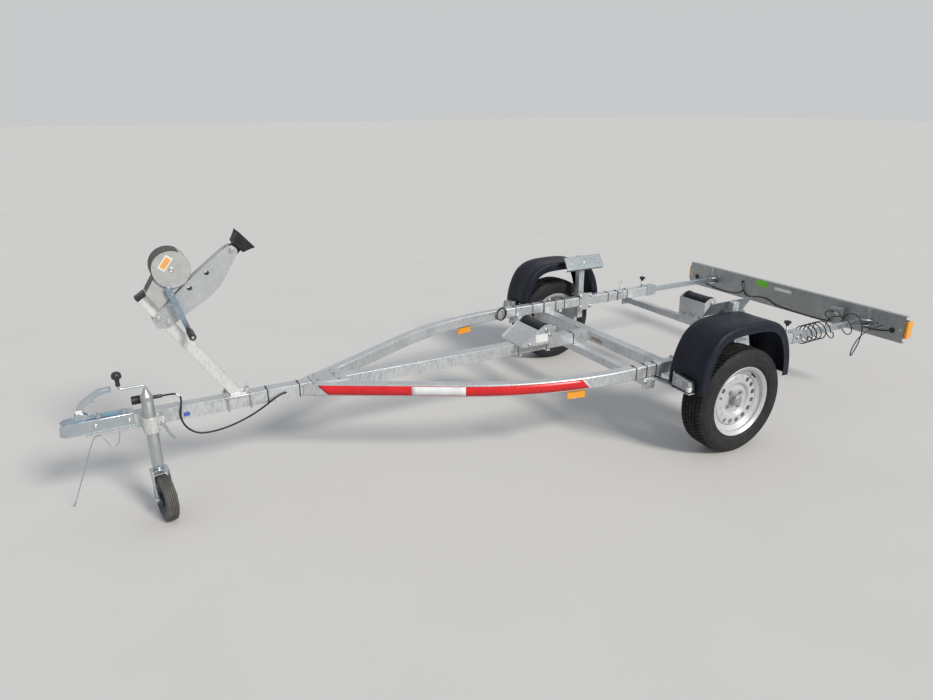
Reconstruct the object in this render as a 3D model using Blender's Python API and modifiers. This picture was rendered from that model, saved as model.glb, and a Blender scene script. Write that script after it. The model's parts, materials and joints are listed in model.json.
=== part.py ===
"""Small single-axle galvanised boat trailer.

Frame: X forward (towards the coupling), Y to the left, Z up, floor at Z = 0.
Driving positions along the trailer are measured from the wheel axle; one empty
moves them all so that the origin is the middle of the footprint.
All lengths are in metres and all angles in degrees.
"""
from math import asin, atan2, cos, degrees, hypot, pi, radians, sin

import bmesh
import bpy
import numpy as np
from mathutils import Matrix, Vector

# Clearances and shared sizes
GAP = 0.0003
CUT_PAST = 0.01
ROUND_SIDES = 24
SMALL_SIDES = 12
FLAT_ANGLE = 0.0005

# Reach of the whole trailer, from the axle
NOSE_X = 2.930
BOARD_FACE_X = -1.330

# Frame tubes
FRAME_TOP = 0.455
TUBE_HEIGHT = 0.060
DRAWBAR_WIDTH = 0.060
DRAWBAR_REAR_X = 0.315
DRAWBAR_FRONT_X = 2.840
RAIL_WIDTH = 0.050
RAIL_Y = 0.590
RAIL_BEND_ANGLE = 30.0
RAIL_BEND_RADIUS = 1.600
RAIL_BEND_X = 0.500
RAIL_REAR_X = -0.735
BEND_STEPS = 14
TUBE_WALL = 0.003
OPEN_END_DEPTH = 0.120
PLATE = 0.005
JUNCTION_FRONT_X = 1.900
JUNCTION_REAR_X = 1.740
JUNCTION_FRONT_HALF = 0.055
JUNCTION_REAR_HALF = 0.090

# Cross members under the rails
CROSSBAR_WIDTH = 0.040
CROSSBAR_HEIGHT = 0.040
CROSSBAR_OVERHANG = 0.008
CROSSBAR_CLEARANCE = 0.017
CROSSBAR_REAR_X = -0.525
CLAMP_PLATE_LENGTH = 0.070
CLAMP_PLATE_DROP = 0.055
AXLE_TUBE_X = 0.160
AXLE_TUBE_SIZE = 0.060
AXLE_OVERHANG = 0.025
AXLE_PLATE_LENGTH = 0.110

# Wheels
TYRE_RADIUS = 0.2735
TYRE_WIDTH = 0.155
TYRE_ARM_CLEARANCE = 0.0517
TREAD_GROOVE = 0.008
RIM_FLANGE_RADIUS = 0.1815
RIM_BEAD_RADIUS = 0.165
RIM_WIDTH = 0.135
RIM_WALL = 0.004
RIM_WELL_RADIUS = 0.140
VENT_COUNT = 16
VENT_RADIUS = 0.0095
VENT_CIRCLE = 0.112
HUB_FACE_DEPTH = 0.060
HUB_RADIUS = 0.070
HUB_CAP_RADIUS = 0.032
HUB_CAP_HEIGHT = 0.035
ARM_THICKNESS = 0.022
ARM_BOSS_RADIUS = 0.038
ARM_END_RADIUS = 0.034
STUB_RADIUS = 0.030
BORE_CLEARANCE = 0.00005

# Mudguards
FENDER_END_CLEARANCE = 0.0315
FENDER_TOP_CLEARANCE = 0.138
FENDER_BOTTOM = 0.370
FENDER_INSIDE_CLEARANCE = 0.054
FENDER_OUTSIDE_CLEARANCE = 0.008
FENDER_SKIN = 0.004
FENDER_LIP = 0.050
STAY_WIDTH = 0.030
STAY_THICK = 0.005

# Coupling
COUPLING_REAR_X = 2.655
COUPLING_WIDTH = 0.070
COUPLING_TOP = 0.466
COUPLING_BOTTOM = 0.410
NOSE_RADIUS = 0.036
NOSE_UNDERCUT = -25
CUP_RADIUS = 0.0255
CUP_ROOF = 0.020
CHEEK_LENGTH = 0.090
LEVER_WIDTH = 0.030
LEVER_OUTLINE = ((2.860, 0.4663), (2.858, 0.500), (2.845, 0.532), (2.775, 0.578), (2.722, 0.584),
                 (2.720, 0.568), (2.765, 0.560), (2.822, 0.520), (2.818, 0.4663))

# Jockey wheel
JOCKEY_X = 2.598
JOCKEY_Y = 0.085
JOCKEY_TUBE_RADIUS = 0.024
JOCKEY_TUBE_WALL = 0.003
JOCKEY_TUBE_BOTTOM = 0.236
JOCKEY_TUBE_TOP = 0.548
JOCKEY_CAP_TOP = 0.585
JOCKEY_CRANK_TOP = 0.602
JOCKEY_CRANK_REACH = 0.095
JOCKEY_WHEEL_RADIUS = 0.100
JOCKEY_WHEEL_WIDTH = 0.050
JOCKEY_TRAIL = 0.050
JOCKEY_SWIVEL = 11.0
JOCKEY_LIFT = 0.130
JOCKEY_STOW = 0.130
FORK_PLATE = 0.004
FORK_GAP = 0.006
FORK_HEAD_WIDTH = 0.044
FORK_HEAD_SHIFT = 0.010
FORK_CLEARANCE = 0.006
FORK_PIN_RADIUS = 0.006
CLAMP_LENGTH = 0.070
CLAMP_HEIGHT = 0.070
CLAMP_WALL = 0.008
CLAMP_LUG = 0.022
CLAMP_LUG_HALF = 0.012
CLAMP_HANDLE_END = (2.513, 0.339)
CLAMP_HANDLE_RADIUS = 0.005
CAP_TIP_RADIUS = 0.008
CRANK_ROD_RADIUS = 0.005
CRANK_KNOB = ((0, 0.075), (0.014, 0.073), (0.019, 0.062), (0.019, 0.050), (0.010, 0.040),
              (0.009, 0.015), (0, 0.015))
LEG_BELOW_TUBE = 0.012
LEG_INSIDE_TUBE = 0.060

# Winch stand
POST_SIZE = 0.045
POST_FOOT_X = 2.230
POST_TOP_X = 2.560
POST_TOP_Z = 0.950
POST_BASE_LENGTH = 0.120
POST_BASE_WIDTH = 0.090
WINCH_X = 2.433
WINCH_Z = 1.051
WINCH_DISC_RADIUS = 0.075
WINCH_HALF = 0.048
WINCH_PLATE = 0.004
WINCH_COVER = 0.012
WINCH_COVER_INSET = 0.003
WINCH_BASE_FROM_TOP = 0.003
WINCH_BASE_LENGTH = 0.080
DRUM_RADIUS = 0.018
DRUM_FLANGE_RADIUS = 0.055
DRUM_SIDE_GAP = 0.006
DRUM_PIN_RADIUS = 0.008
CRANK_X = 2.455
CRANK_Z = 0.975
CRANK_LENGTH = 0.190
CRANK_ANGLE = 17.0
CRANK_BAR_WIDTH = 0.022
CRANK_BAR_THICK = 0.008
CRANK_SIDE_GAP = 0.006
CRANK_PIN_RADIUS = 0.007
GRIP_LENGTH = 0.100
GRIP_RADIUS = 0.014
BOW_PLATE = 0.004
BOW_BRACKET_OUTLINE = (
    (2.366, 0.996), (2.223, 1.104), (2.195, 1.120), (2.172, 1.112), (2.164, 1.090), (2.200, 1.030),
    (2.245, 0.960), (2.300, 0.910), (2.383, 0.862), (2.420, 0.835), (2.467, 0.806), (2.513, 0.806),
    (2.530, 0.846), (2.483, 0.895), (2.440, 0.930))
BOW_TIP_X = 2.185
BOW_TIP_Z = 1.090
SNUBBER_FACE = 0.095
SNUBBER_RISE = 41.0
SNUBBER_STEM = (-0.035, 0.030)
SNUBBER_STEM_HALF = 0.020
SNUBBER_HEAD = (0.027, 0.077)
SNUBBER_HEAD_BACK = 0.058
SNUBBER_WIDTH = 0.080
SNUBBER_GROOVE = 0.044
SNUBBER_GROOVE_DEPTH = 0.010

# Keel rollers
ROLLER_RADIUS = 0.036
ROLLER_HALF = 0.095
ROLLER_PIN_RADIUS = 0.008
ROLLER_SIDE_GAP = 0.005
ROLLER_PLATE = 0.004
DRILL_REACH = 0.200
ROLLER_FRONT_X = 0.650
ROLLER_FRONT_Z = 0.530
ROLLER_REAR_X = -0.560
ROLLER_REAR_Z = 0.515

# Bunks that carry the hull's sides
BUNK_X = -0.120
BUNK_POST = 0.040
BUNK_POST_BOTTOM = 0.300
BUNK_PAD_LENGTH = 0.290
BUNK_PAD_WIDTH = 0.092
BUNK_PAD_THICK = 0.004
BUNK_PAD_LIP = 0.024
BUNK_TILT = 58.0
BUNK_PAD_Y = 0.598
BUNK_PAD_Z = 0.680
BUNK_POST_SHY = 0.004
BUNK_POST_OPEN = 0.060
BUNK_PLATE_LENGTH = 0.090
BUNK_PLATE_HEIGHT = 0.110
BOLT_RADIUS = 0.005

# Light board
BOARD_HALF = 0.828
BOARD_BOTTOM = 0.347
BOARD_TOP = 0.507
BOARD_SHEET = 0.003
BOARD_FLANGE = 0.030
BOARD_ARM = 0.030
BOARD_ARM_INSIDE = 0.450
RAIL_BORE_PAST_ARM = 0.060
LAMP_LENGTH = 0.220
LAMP_HEIGHT = 0.105
LAMP_DEPTH = 0.052
LAMP_CENTRE_Y = 0.735
KNOB_X = -0.625
KNOB_RADIUS = 0.020
KNOB_TOP = 0.528
NUMBER_PLATE_LENGTH = 0.520
NUMBER_PLATE_HEIGHT = 0.110
NUMBER_PLATE_PAD = 0.003

# Cords
PLUG_REAR_X = 2.535
PLUG_Y = 0.004
PLUG_Z = 0.508
PLUG_LENGTH = 0.120
PLUG_RADIUS = 0.020
LEAD_DIAMETER = 0.008
ROPE_DIAMETER = 0.004
WIRING_DIAMETER = 0.006
COIL_FRONT_X = -0.745
COIL_REAR_X = -0.945
COIL_RADIUS = 0.058
COIL_BORE = 0.044
# Routes in X, Y and Z: down from the exit, then on to the far end
LEAD_ROUTE = (
    (2.022, 0.0345, 0.430), (2.050, 0.036, 0.426), (2.090, 0.040, 0.408), (2.135, 0.042, 0.382),
    (2.200, 0.044, 0.352), (2.280, 0.046, 0.328), (2.360, 0.047, 0.318), (2.420, 0.046, 0.326),
    (2.462, 0.044, 0.362), (2.478, 0.042, 0.410), (2.472, 0.040, 0.456), (2.466, 0.028, 0.492),
    (2.480, 0.008, 0.506), (2.510, 0.004, 0.508), (2.5347, 0.004, 0.508))
SAFETY_ROUTE = (
    (2.718, 0.020, 0.3947), (2.720, 0.020, 0.372), (2.730, 0.020, 0.338), (2.750, 0.019, 0.326),
    (2.768, 0.016, 0.350), (2.788, 0.010, 0.382), (2.812, 0.000, 0.376), (2.838, -0.015, 0.320),
    (2.866, -0.035, 0.240), (2.895, -0.065, 0.160), (2.922, -0.100, 0.080), (2.940, -0.135, 0.024),
    (2.946, -0.165, 0.004), (2.940, -0.200, 0.003))
WIRING_ROUTE = (
    (-0.9462, 0.641, 0.425), (-0.966, 0.641, 0.424), (-0.992, 0.629, 0.385), (-1.015, 0.600, 0.366),
    (-1.030, 0.560, 0.380), (-1.040, 0.538, 0.425), (-1.050, 0.552, 0.470), (-1.065, 0.590, 0.487),
    (-1.085, 0.628, 0.478), (-1.110, 0.648, 0.440), (-1.130, 0.645, 0.400), (-1.150, 0.620, 0.372),
    (-1.168, 0.585, 0.366), (-1.183, 0.550, 0.385), (-1.193, 0.535, 0.425), (-1.200, 0.548, 0.462),
    (-1.206, 0.585, 0.482), (-1.212, 0.620, 0.470), (-1.218, 0.645, 0.430), (-1.215, 0.655, 0.380),
    (-1.200, 0.655, 0.320), (-1.176, 0.652, 0.270), (-1.156, 0.651, 0.247), (-1.144, 0.654, 0.262),
    (-1.150, 0.660, 0.310), (-1.176, 0.668, 0.360), (-1.215, 0.678, 0.392), (-1.260, 0.688, 0.410),
    (-1.295, 0.695, 0.419), (-1.312, 0.695, 0.420), (-1.3297, 0.695, 0.420))

# Front and side lamps
FRONT_LAMP_CLEARANCE = 0.005
FRONT_LAMP_INSET = 0.092
FRONT_LAMP_WIDTH = 0.115
FRONT_LAMP_HEIGHT = 0.065
FRONT_LAMP_DEPTH = 0.040
FRONT_LAMP_BOTTOM = 0.378
REFLECTOR_X = 0.790
REFLECTOR_LENGTH = 0.095
REFLECTOR_HEIGHT = 0.048
REFLECTOR_THICK = 0.008

# Tyre's side from the rim's edge to the shoulder: share of the wall's height, share of half the width
TYRE_SIDE = ((12 / 92, 0.86), (40 / 92, 1.0), (66 / 92, 0.95), (86 / 92, 0.80))

# Worked out from the sizes above
LAMP_REAR_X = BOARD_FACE_X - BOARD_SHEET - LAMP_DEPTH
MIDDLE_X = (NOSE_X + LAMP_REAR_X) / 2
BALL_CENTRE_X = NOSE_X - NOSE_RADIUS
FRAME_BOTTOM = FRAME_TOP - TUBE_HEIGHT
CROSS_TOP = FRAME_BOTTOM - GAP
RAIL_OUTER_Y = RAIL_Y + RAIL_WIDTH / 2
RAIL_INNER_Y = RAIL_Y - RAIL_WIDTH / 2
AXLE_TUBE_HALF = RAIL_OUTER_Y + AXLE_OVERHANG
TYRE_INNER_Y = AXLE_TUBE_HALF + GAP + ARM_THICKNESS + TYRE_ARM_CLEARANCE
TYRE_OUTER_Y = TYRE_INNER_Y + TYRE_WIDTH
TYRE_CENTRE_Y = TYRE_OUTER_Y - TYRE_WIDTH / 2
TYRE_WALL = TYRE_RADIUS - RIM_FLANGE_RADIUS
FENDER_HALF_LENGTH = TYRE_RADIUS + FENDER_END_CLEARANCE
FENDER_TOP = 2 * TYRE_RADIUS + FENDER_TOP_CLEARANCE
FENDER_INNER_Y = TYRE_INNER_Y - FENDER_INSIDE_CLEARANCE
FENDER_OUTER_Y = TYRE_OUTER_Y + FENDER_OUTSIDE_CLEARANCE
FRONT_LAMP_X = FENDER_HALF_LENGTH + FRONT_LAMP_CLEARANCE + FRONT_LAMP_DEPTH / 2
FRONT_LAMP_Y = FENDER_OUTER_Y - FRONT_LAMP_INSET
STAY_FRONT_X = FRONT_LAMP_X + STAY_WIDTH / 2
CROSSBAR_FRONT_X = STAY_FRONT_X + CROSSBAR_CLEARANCE + CLAMP_PLATE_LENGTH / 2
MIDDLE_Z = (FRAME_TOP + FRAME_BOTTOM) / 2
ARM_FRONT_X = RAIL_REAR_X + BOARD_ARM_INSIDE
BOW_PLATE_HALF = POST_SIZE / 2 + GAP
POST_LEAN = atan2(POST_TOP_X - POST_FOOT_X, POST_TOP_Z - FRAME_TOP)
BUNK_POST_Y = RAIL_OUTER_Y + GAP + BUNK_POST / 2
WINCH_OUTER = WINCH_HALF + WINCH_PLATE + WINCH_COVER
SIDES = (("left", 1), ("right", -1))

# Colours: name, red, green, blue, metallic, roughness
COLOURS = (
    ("galvanised", 0.62, 0.65, 0.67, 0.9, 0.38),
    ("zinc", 0.66, 0.69, 0.72, 1.0, 0.28),
    ("rim_silver", 0.78, 0.79, 0.80, 0.6, 0.35),
    ("tyre_rubber", 0.03, 0.03, 0.03, 0.0, 0.85),
    ("black_plastic", 0.02, 0.022, 0.03, 0.0, 0.45),
    ("black_rubber", 0.025, 0.025, 0.028, 0.0, 0.7),
    ("winch_cover", 0.70, 0.71, 0.69, 0.2, 0.4),
    ("lamp_red", 0.55, 0.02, 0.02, 0.0, 0.2),
    ("lamp_clear", 0.75, 0.75, 0.75, 0.0, 0.15),
    ("amber", 0.90, 0.35, 0.02, 0.0, 0.2),
    ("steel_rope", 0.45, 0.46, 0.47, 0.9, 0.4),
)


def clear_scene():
    for item in list(bpy.data.objects):
        bpy.data.objects.remove(item, do_unlink=True)


def make_collections():
    made = []
    for name in ("boat_trailer", "cutters"):
        group = bpy.data.collections.new(name)
        bpy.context.scene.collection.children.link(group)
        made.append(group)
    return made


def make_material(name, red, green, blue, metallic, roughness):
    material = bpy.data.materials.new(name)
    material.use_nodes = True
    shader = material.node_tree.nodes["Principled BSDF"]
    shader.inputs["Base Color"].default_value = (red, green, blue, 1.0)
    shader.inputs["Metallic"].default_value = metallic
    shader.inputs["Roughness"].default_value = roughness
    material.diffuse_color = (red, green, blue, 1.0)
    return material


clear_scene()
PARTS, CUTTERS = make_collections()
MATERIALS = {row[0]: make_material(*row) for row in COLOURS}

ORIGIN = bpy.data.objects.new("axle_origin", None)
ORIGIN.location = (-MIDDLE_X, 0, 0)
PARTS.objects.link(ORIGIN)


# Building blocks: each returns an object made of one closed mesh

def place(name, mesh, location=(0, 0, 0), rotation=(0, 0, 0), parent=None):
    """Link a mesh as an object under the axle's empty, or under another parent."""
    item = bpy.data.objects.new(name, mesh)
    PARTS.objects.link(item)
    item.parent = parent or ORIGIN
    item.location = location
    item.rotation_euler = [radians(angle) for angle in rotation]
    return item


def finish(item, material, smooth_angle=30.0):
    """Give the node its material and smooth its round faces."""
    item.data.materials.clear()
    item.data.materials.append(MATERIALS[material])
    item.data.shade_smooth()
    item.data.set_sharp_from_angle(angle=radians(smooth_angle))
    return item


def box(name, size, centre, rotation=(0, 0, 0), parent=None):
    mesh = bpy.data.meshes.new(name)
    shape = bmesh.new()
    bmesh.ops.create_cube(shape, size=1.0)
    bmesh.ops.scale(shape, vec=Vector(size), verts=shape.verts)
    shape.to_mesh(mesh)
    shape.free()
    return place(name, mesh, centre, rotation, parent)


def span(name, low, high):
    """A box between two corners."""
    size = [b - a for a, b in zip(low, high)]
    centre = [(a + b) / 2 for a, b in zip(low, high)]
    return box(name, size, centre)


def rod(name, start, end, radius, sides=ROUND_SIDES, end_radius=None):
    """A round bar, or a cone, from one point to another."""
    start, end = Vector(start), Vector(end)
    mesh = bpy.data.meshes.new(name)
    shape = bmesh.new()
    top = radius if end_radius is None else end_radius
    bmesh.ops.create_cone(shape, cap_ends=True, segments=sides, radius1=radius, radius2=top,
                          depth=(end - start).length)
    turn = (end - start).to_track_quat("Z", "Y").to_matrix().to_4x4()
    bmesh.ops.transform(shape, matrix=turn, verts=shape.verts)
    shape.to_mesh(mesh)
    shape.free()
    return place(name, mesh, (start + end) / 2)


def evaluated_mesh(item):
    """The item's finished mesh, with a curve's caps welded on and its faces outward."""
    bpy.context.view_layer.update()
    graph = bpy.context.evaluated_depsgraph_get()
    mesh = bpy.data.meshes.new_from_object(item.evaluated_get(graph))
    shape = bmesh.new()
    shape.from_mesh(mesh)
    bmesh.ops.remove_doubles(shape, verts=shape.verts, dist=0.00001)
    bmesh.ops.recalc_face_normals(shape, faces=shape.faces)
    shape.to_mesh(mesh)
    shape.free()
    return mesh


def plate(name, outline, thickness, axis, middle):
    """A flat outline, extruded both ways along an axis about its middle.

    The outline's two numbers are X and Y for axis Z, and X and Z for axis Y.
    """
    curve = bpy.data.curves.new(name, "CURVE")
    curve.dimensions = "2D"
    curve.fill_mode = "BOTH"
    curve.extrude = thickness / 2
    line = curve.splines.new("POLY")
    line.points.add(len(outline) - 1)
    for point, (across, along) in zip(line.points, outline):
        point.co = (across, along, 0, 1)
    line.use_cyclic_u = True
    drawn = bpy.data.objects.new(name + "_curve", curve)
    CUTTERS.objects.link(drawn)
    mesh = evaluated_mesh(drawn)
    bpy.data.objects.remove(drawn, do_unlink=True)
    if axis == "Z":
        return place(name, mesh, (0, 0, middle))
    return place(name, mesh, (0, middle, 0), (90, 0, 0))


def turned(name, profile, centre, rotation=(0, 0, 0), sides=ROUND_SIDES, closed=False):
    """A profile of (radius, height) points turned about its own Z axis."""
    mesh = bpy.data.meshes.new(name)
    edges = [(i, i + 1) for i in range(len(profile) - 1)]
    if closed:
        edges.append((len(profile) - 1, 0))
    mesh.from_pydata([(r, 0, h) for r, h in profile], edges, [])
    source = bpy.data.objects.new(name + "_profile", mesh)
    CUTTERS.objects.link(source)
    screw = source.modifiers.new("turn", "SCREW")
    screw.steps = sides
    screw.render_steps = sides
    screw.use_merge_vertices = True
    screw.merge_threshold = 0.00001
    result = evaluated_mesh(source)
    bpy.data.objects.remove(source, do_unlink=True)
    return place(name, result, centre, rotation)


def wire(name, points, radius, resolution=2):
    """A round bar that follows points, with its ends capped."""
    curve = bpy.data.curves.new(name, "CURVE")
    curve.dimensions = "3D"
    curve.bevel_depth = radius
    curve.bevel_resolution = resolution
    curve.use_fill_caps = True
    line = curve.splines.new("POLY")
    line.points.add(len(points) - 1)
    for point, place_at in zip(line.points, points):
        point.co = (*place_at, 1)
    drawn = bpy.data.objects.new(name + "_curve", curve)
    CUTTERS.objects.link(drawn)
    mesh = evaluated_mesh(drawn)
    bpy.data.objects.remove(drawn, do_unlink=True)
    return place(name, mesh)


def merge_flat_faces(mesh):
    """Rejoin the flat faces that a cut or a join left in pieces."""
    shape = bmesh.new()
    shape.from_mesh(mesh)
    bmesh.ops.dissolve_limit(shape, angle_limit=FLAT_ANGLE, verts=shape.verts, edges=shape.edges)
    shape.to_mesh(mesh)
    shape.free()


def combine(target, tools, operation):
    """Join tools to the target, or cut them out of it, and drop the tools."""
    for tool in tools:
        step = target.modifiers.new(operation.lower(), "BOOLEAN")
        step.operation = operation
        step.solver = "EXACT"
        step.object = tool
    target.data = evaluated_mesh(target)
    target.modifiers.clear()
    merge_flat_faces(target.data)
    for tool in tools:
        bpy.data.objects.remove(tool, do_unlink=True)
    return target


def join(target, *tools):
    return combine(target, tools, "UNION")


def cut(target, *tools):
    return combine(target, tools, "DIFFERENCE")


def arc_points(centre, radius, start, end, steps):
    """Points on an arc, its angles in degrees from the first axis."""
    angles = np.linspace(radians(start), radians(end), steps + 1)
    return [(centre[0] + radius * cos(a), centre[1] + radius * sin(a)) for a in angles]


def smooth_route(points, spacing):
    """Points at an even spacing on a smooth curve through the route's own points."""
    ends = [Vector(p) for p in points]
    ends = [2 * ends[0] - ends[1]] + ends + [2 * ends[-1] - ends[-2]]
    fine = []
    steps = 24
    for a, b, c, d in zip(ends, ends[1:], ends[2:], ends[3:]):
        for k in range(steps):
            t = k / steps
            fine.append(0.5 * (2 * b + (c - a) * t + (2 * a - 5 * b + 4 * c - d) * t ** 2
                               + (3 * b - a - 3 * c + d) * t ** 3))
    fine.append(ends[-2])
    lengths = np.cumsum([0] + [(b - a).length for a, b in zip(fine, fine[1:])])
    count = max(2, round(lengths[-1] / spacing))
    wanted = np.linspace(0, lengths[-1], count + 1)
    columns = [np.interp(wanted, lengths, [p[i] for p in fine]) for i in range(3)]
    return [tuple(row) for row in zip(*columns)]


# Frame

def rail_edge(offset, cut_y):
    """One edge of a bent rail in plan, at an offset outward from its centre line."""
    radius = RAIL_BEND_RADIUS + offset
    middle = (RAIL_BEND_X, RAIL_Y - RAIL_BEND_RADIUS)
    bend = arc_points(middle, radius, 90, 90 - RAIL_BEND_ANGLE, BEND_STEPS)
    last_x, last_y = bend[-1]
    slope = radians(RAIL_BEND_ANGLE)
    front_x = last_x + (last_y - cut_y) / sin(slope) * cos(slope)
    return [(RAIL_REAR_X, RAIL_Y + offset)] + bend + [(front_x, cut_y)]


def make_rail(side, sign):
    cut_y = DRAWBAR_WIDTH / 2 + GAP
    outline = rail_edge(RAIL_WIDTH / 2, cut_y) + rail_edge(-RAIL_WIDTH / 2, cut_y)[::-1]
    outline = [(x, sign * y) for x, y in outline]
    rail = plate("rail_" + side, outline, TUBE_HEIGHT, "Z", MIDDLE_Z)
    half = BOARD_ARM / 2 + GAP
    bore_end = ARM_FRONT_X + RAIL_BORE_PAST_ARM
    bore = span("bore", (RAIL_REAR_X - CUT_PAST, sign * RAIL_Y - half, MIDDLE_Z - half),
                (bore_end, sign * RAIL_Y + half, MIDDLE_Z + half))
    return finish(cut(rail, bore), "galvanised")


def make_frame():
    half = DRAWBAR_WIDTH / 2
    drawbar = span("drawbar", (DRAWBAR_REAR_X, -half, FRAME_BOTTOM), (DRAWBAR_FRONT_X, half, FRAME_TOP))
    inside = half - TUBE_WALL
    hollow = span("hollow", (DRAWBAR_REAR_X - CUT_PAST, -inside, FRAME_BOTTOM + TUBE_WALL),
                  (DRAWBAR_REAR_X + OPEN_END_DEPTH, inside, FRAME_TOP - TUBE_WALL))
    finish(cut(drawbar, hollow), "galvanised")
    for side, sign in SIDES:
        make_rail(side, sign)
    corners = ((JUNCTION_FRONT_X, JUNCTION_FRONT_HALF), (JUNCTION_REAR_X, JUNCTION_REAR_HALF),
               (JUNCTION_REAR_X, -JUNCTION_REAR_HALF), (JUNCTION_FRONT_X, -JUNCTION_FRONT_HALF))
    for level, middle in (("top", FRAME_TOP + GAP + PLATE / 2), ("bottom", CROSS_TOP - PLATE / 2)):
        finish(plate("junction_plate_" + level, corners, PLATE, "Z", middle), "galvanised")


def make_crossbar(name, x):
    """A square bar under both rails, with a plate that hooks down each end."""
    reach = RAIL_OUTER_Y + CROSSBAR_OVERHANG
    bar = span(name, (x - CROSSBAR_WIDTH / 2, -reach, CROSS_TOP - CROSSBAR_HEIGHT),
               (x + CROSSBAR_WIDTH / 2, reach, CROSS_TOP))
    ends = []
    for sign in (1, -1):
        inner, outer = sorted((sign * (reach - PLATE), sign * (reach + CROSSBAR_OVERHANG)))
        ends.append(span("end_plate", (x - CLAMP_PLATE_LENGTH / 2, inner, CROSS_TOP - CLAMP_PLATE_DROP),
                         (x + CLAMP_PLATE_LENGTH / 2, outer, CROSS_TOP - PLATE / 2)))
    return finish(join(bar, *ends), "galvanised")


def make_axle():
    half = AXLE_TUBE_SIZE / 2
    tube = span("axle_beam", (AXLE_TUBE_X - half, -AXLE_TUBE_HALF, CROSS_TOP - AXLE_TUBE_SIZE),
                (AXLE_TUBE_X + half, AXLE_TUBE_HALF, CROSS_TOP - PLATE / 2))
    plates = []
    for sign in (1, -1):
        low, high = sorted((sign * RAIL_INNER_Y, sign * RAIL_OUTER_Y))
        plates.append(span("seat", (AXLE_TUBE_X - AXLE_PLATE_LENGTH / 2, low, CROSS_TOP - PLATE),
                           (AXLE_TUBE_X + AXLE_PLATE_LENGTH / 2, high, CROSS_TOP)))
    return finish(join(tube, *plates), "galvanised")


def make_arm(side, sign):
    """Trailing arm with the stub axle that the wheel turns on."""
    tube_z = CROSS_TOP - AXLE_TUBE_SIZE / 2
    inner = AXLE_TUBE_HALF + GAP
    slope = atan2(TYRE_RADIUS - tube_z, -AXLE_TUBE_X)
    up = slope - pi / 2
    outline = []
    for x, z, start in ((0, TYRE_RADIUS, up), (AXLE_TUBE_X, tube_z, up + pi)):
        radius = ARM_BOSS_RADIUS if x == 0 else ARM_END_RADIUS
        outline += arc_points((x, z), radius, degrees(start), degrees(start) + 180, 8)
    arm = plate("arm_" + side, outline, ARM_THICKNESS, "Y", sign * (inner + ARM_THICKNESS / 2))
    stub_end = TYRE_OUTER_Y - HUB_FACE_DEPTH - GAP
    stub_start = inner + ARM_THICKNESS / 2
    stub = rod("stub", (0, sign * stub_start, TYRE_RADIUS), (0, sign * stub_end, TYRE_RADIUS),
               STUB_RADIUS)
    return finish(join(arm, stub), "galvanised")


# Running gear

def make_tyre(side, sign):
    """Tyre section: shoulders, tread with two grooves, sidewalls and open bead."""
    half = TYRE_WIDTH / 2
    tread = half * 0.74
    groove = TYRE_RADIUS - TREAD_GROOVE
    walls = [(RIM_FLANGE_RADIUS + TYRE_WALL * rise, half * share) for rise, share in TYRE_SIDE]
    top = [(TYRE_RADIUS, tread), (TYRE_RADIUS, tread * 0.45), (groove, tread * 0.42),
           (groove, tread * 0.26), (TYRE_RADIUS, tread * 0.22)]
    profile = [(RIM_BEAD_RADIUS + GAP, half * 0.62)] + walls + top
    profile = profile + [(r, -h) for r, h in reversed(profile)]
    profile = profile[::-1]
    middle = (0, sign * TYRE_CENTRE_Y, TYRE_RADIUS)
    tyre = turned("tyre_" + side, profile, middle, (90, 0, 0), 32, closed=True)
    return finish(tyre, "tyre_rubber", 40)


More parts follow.
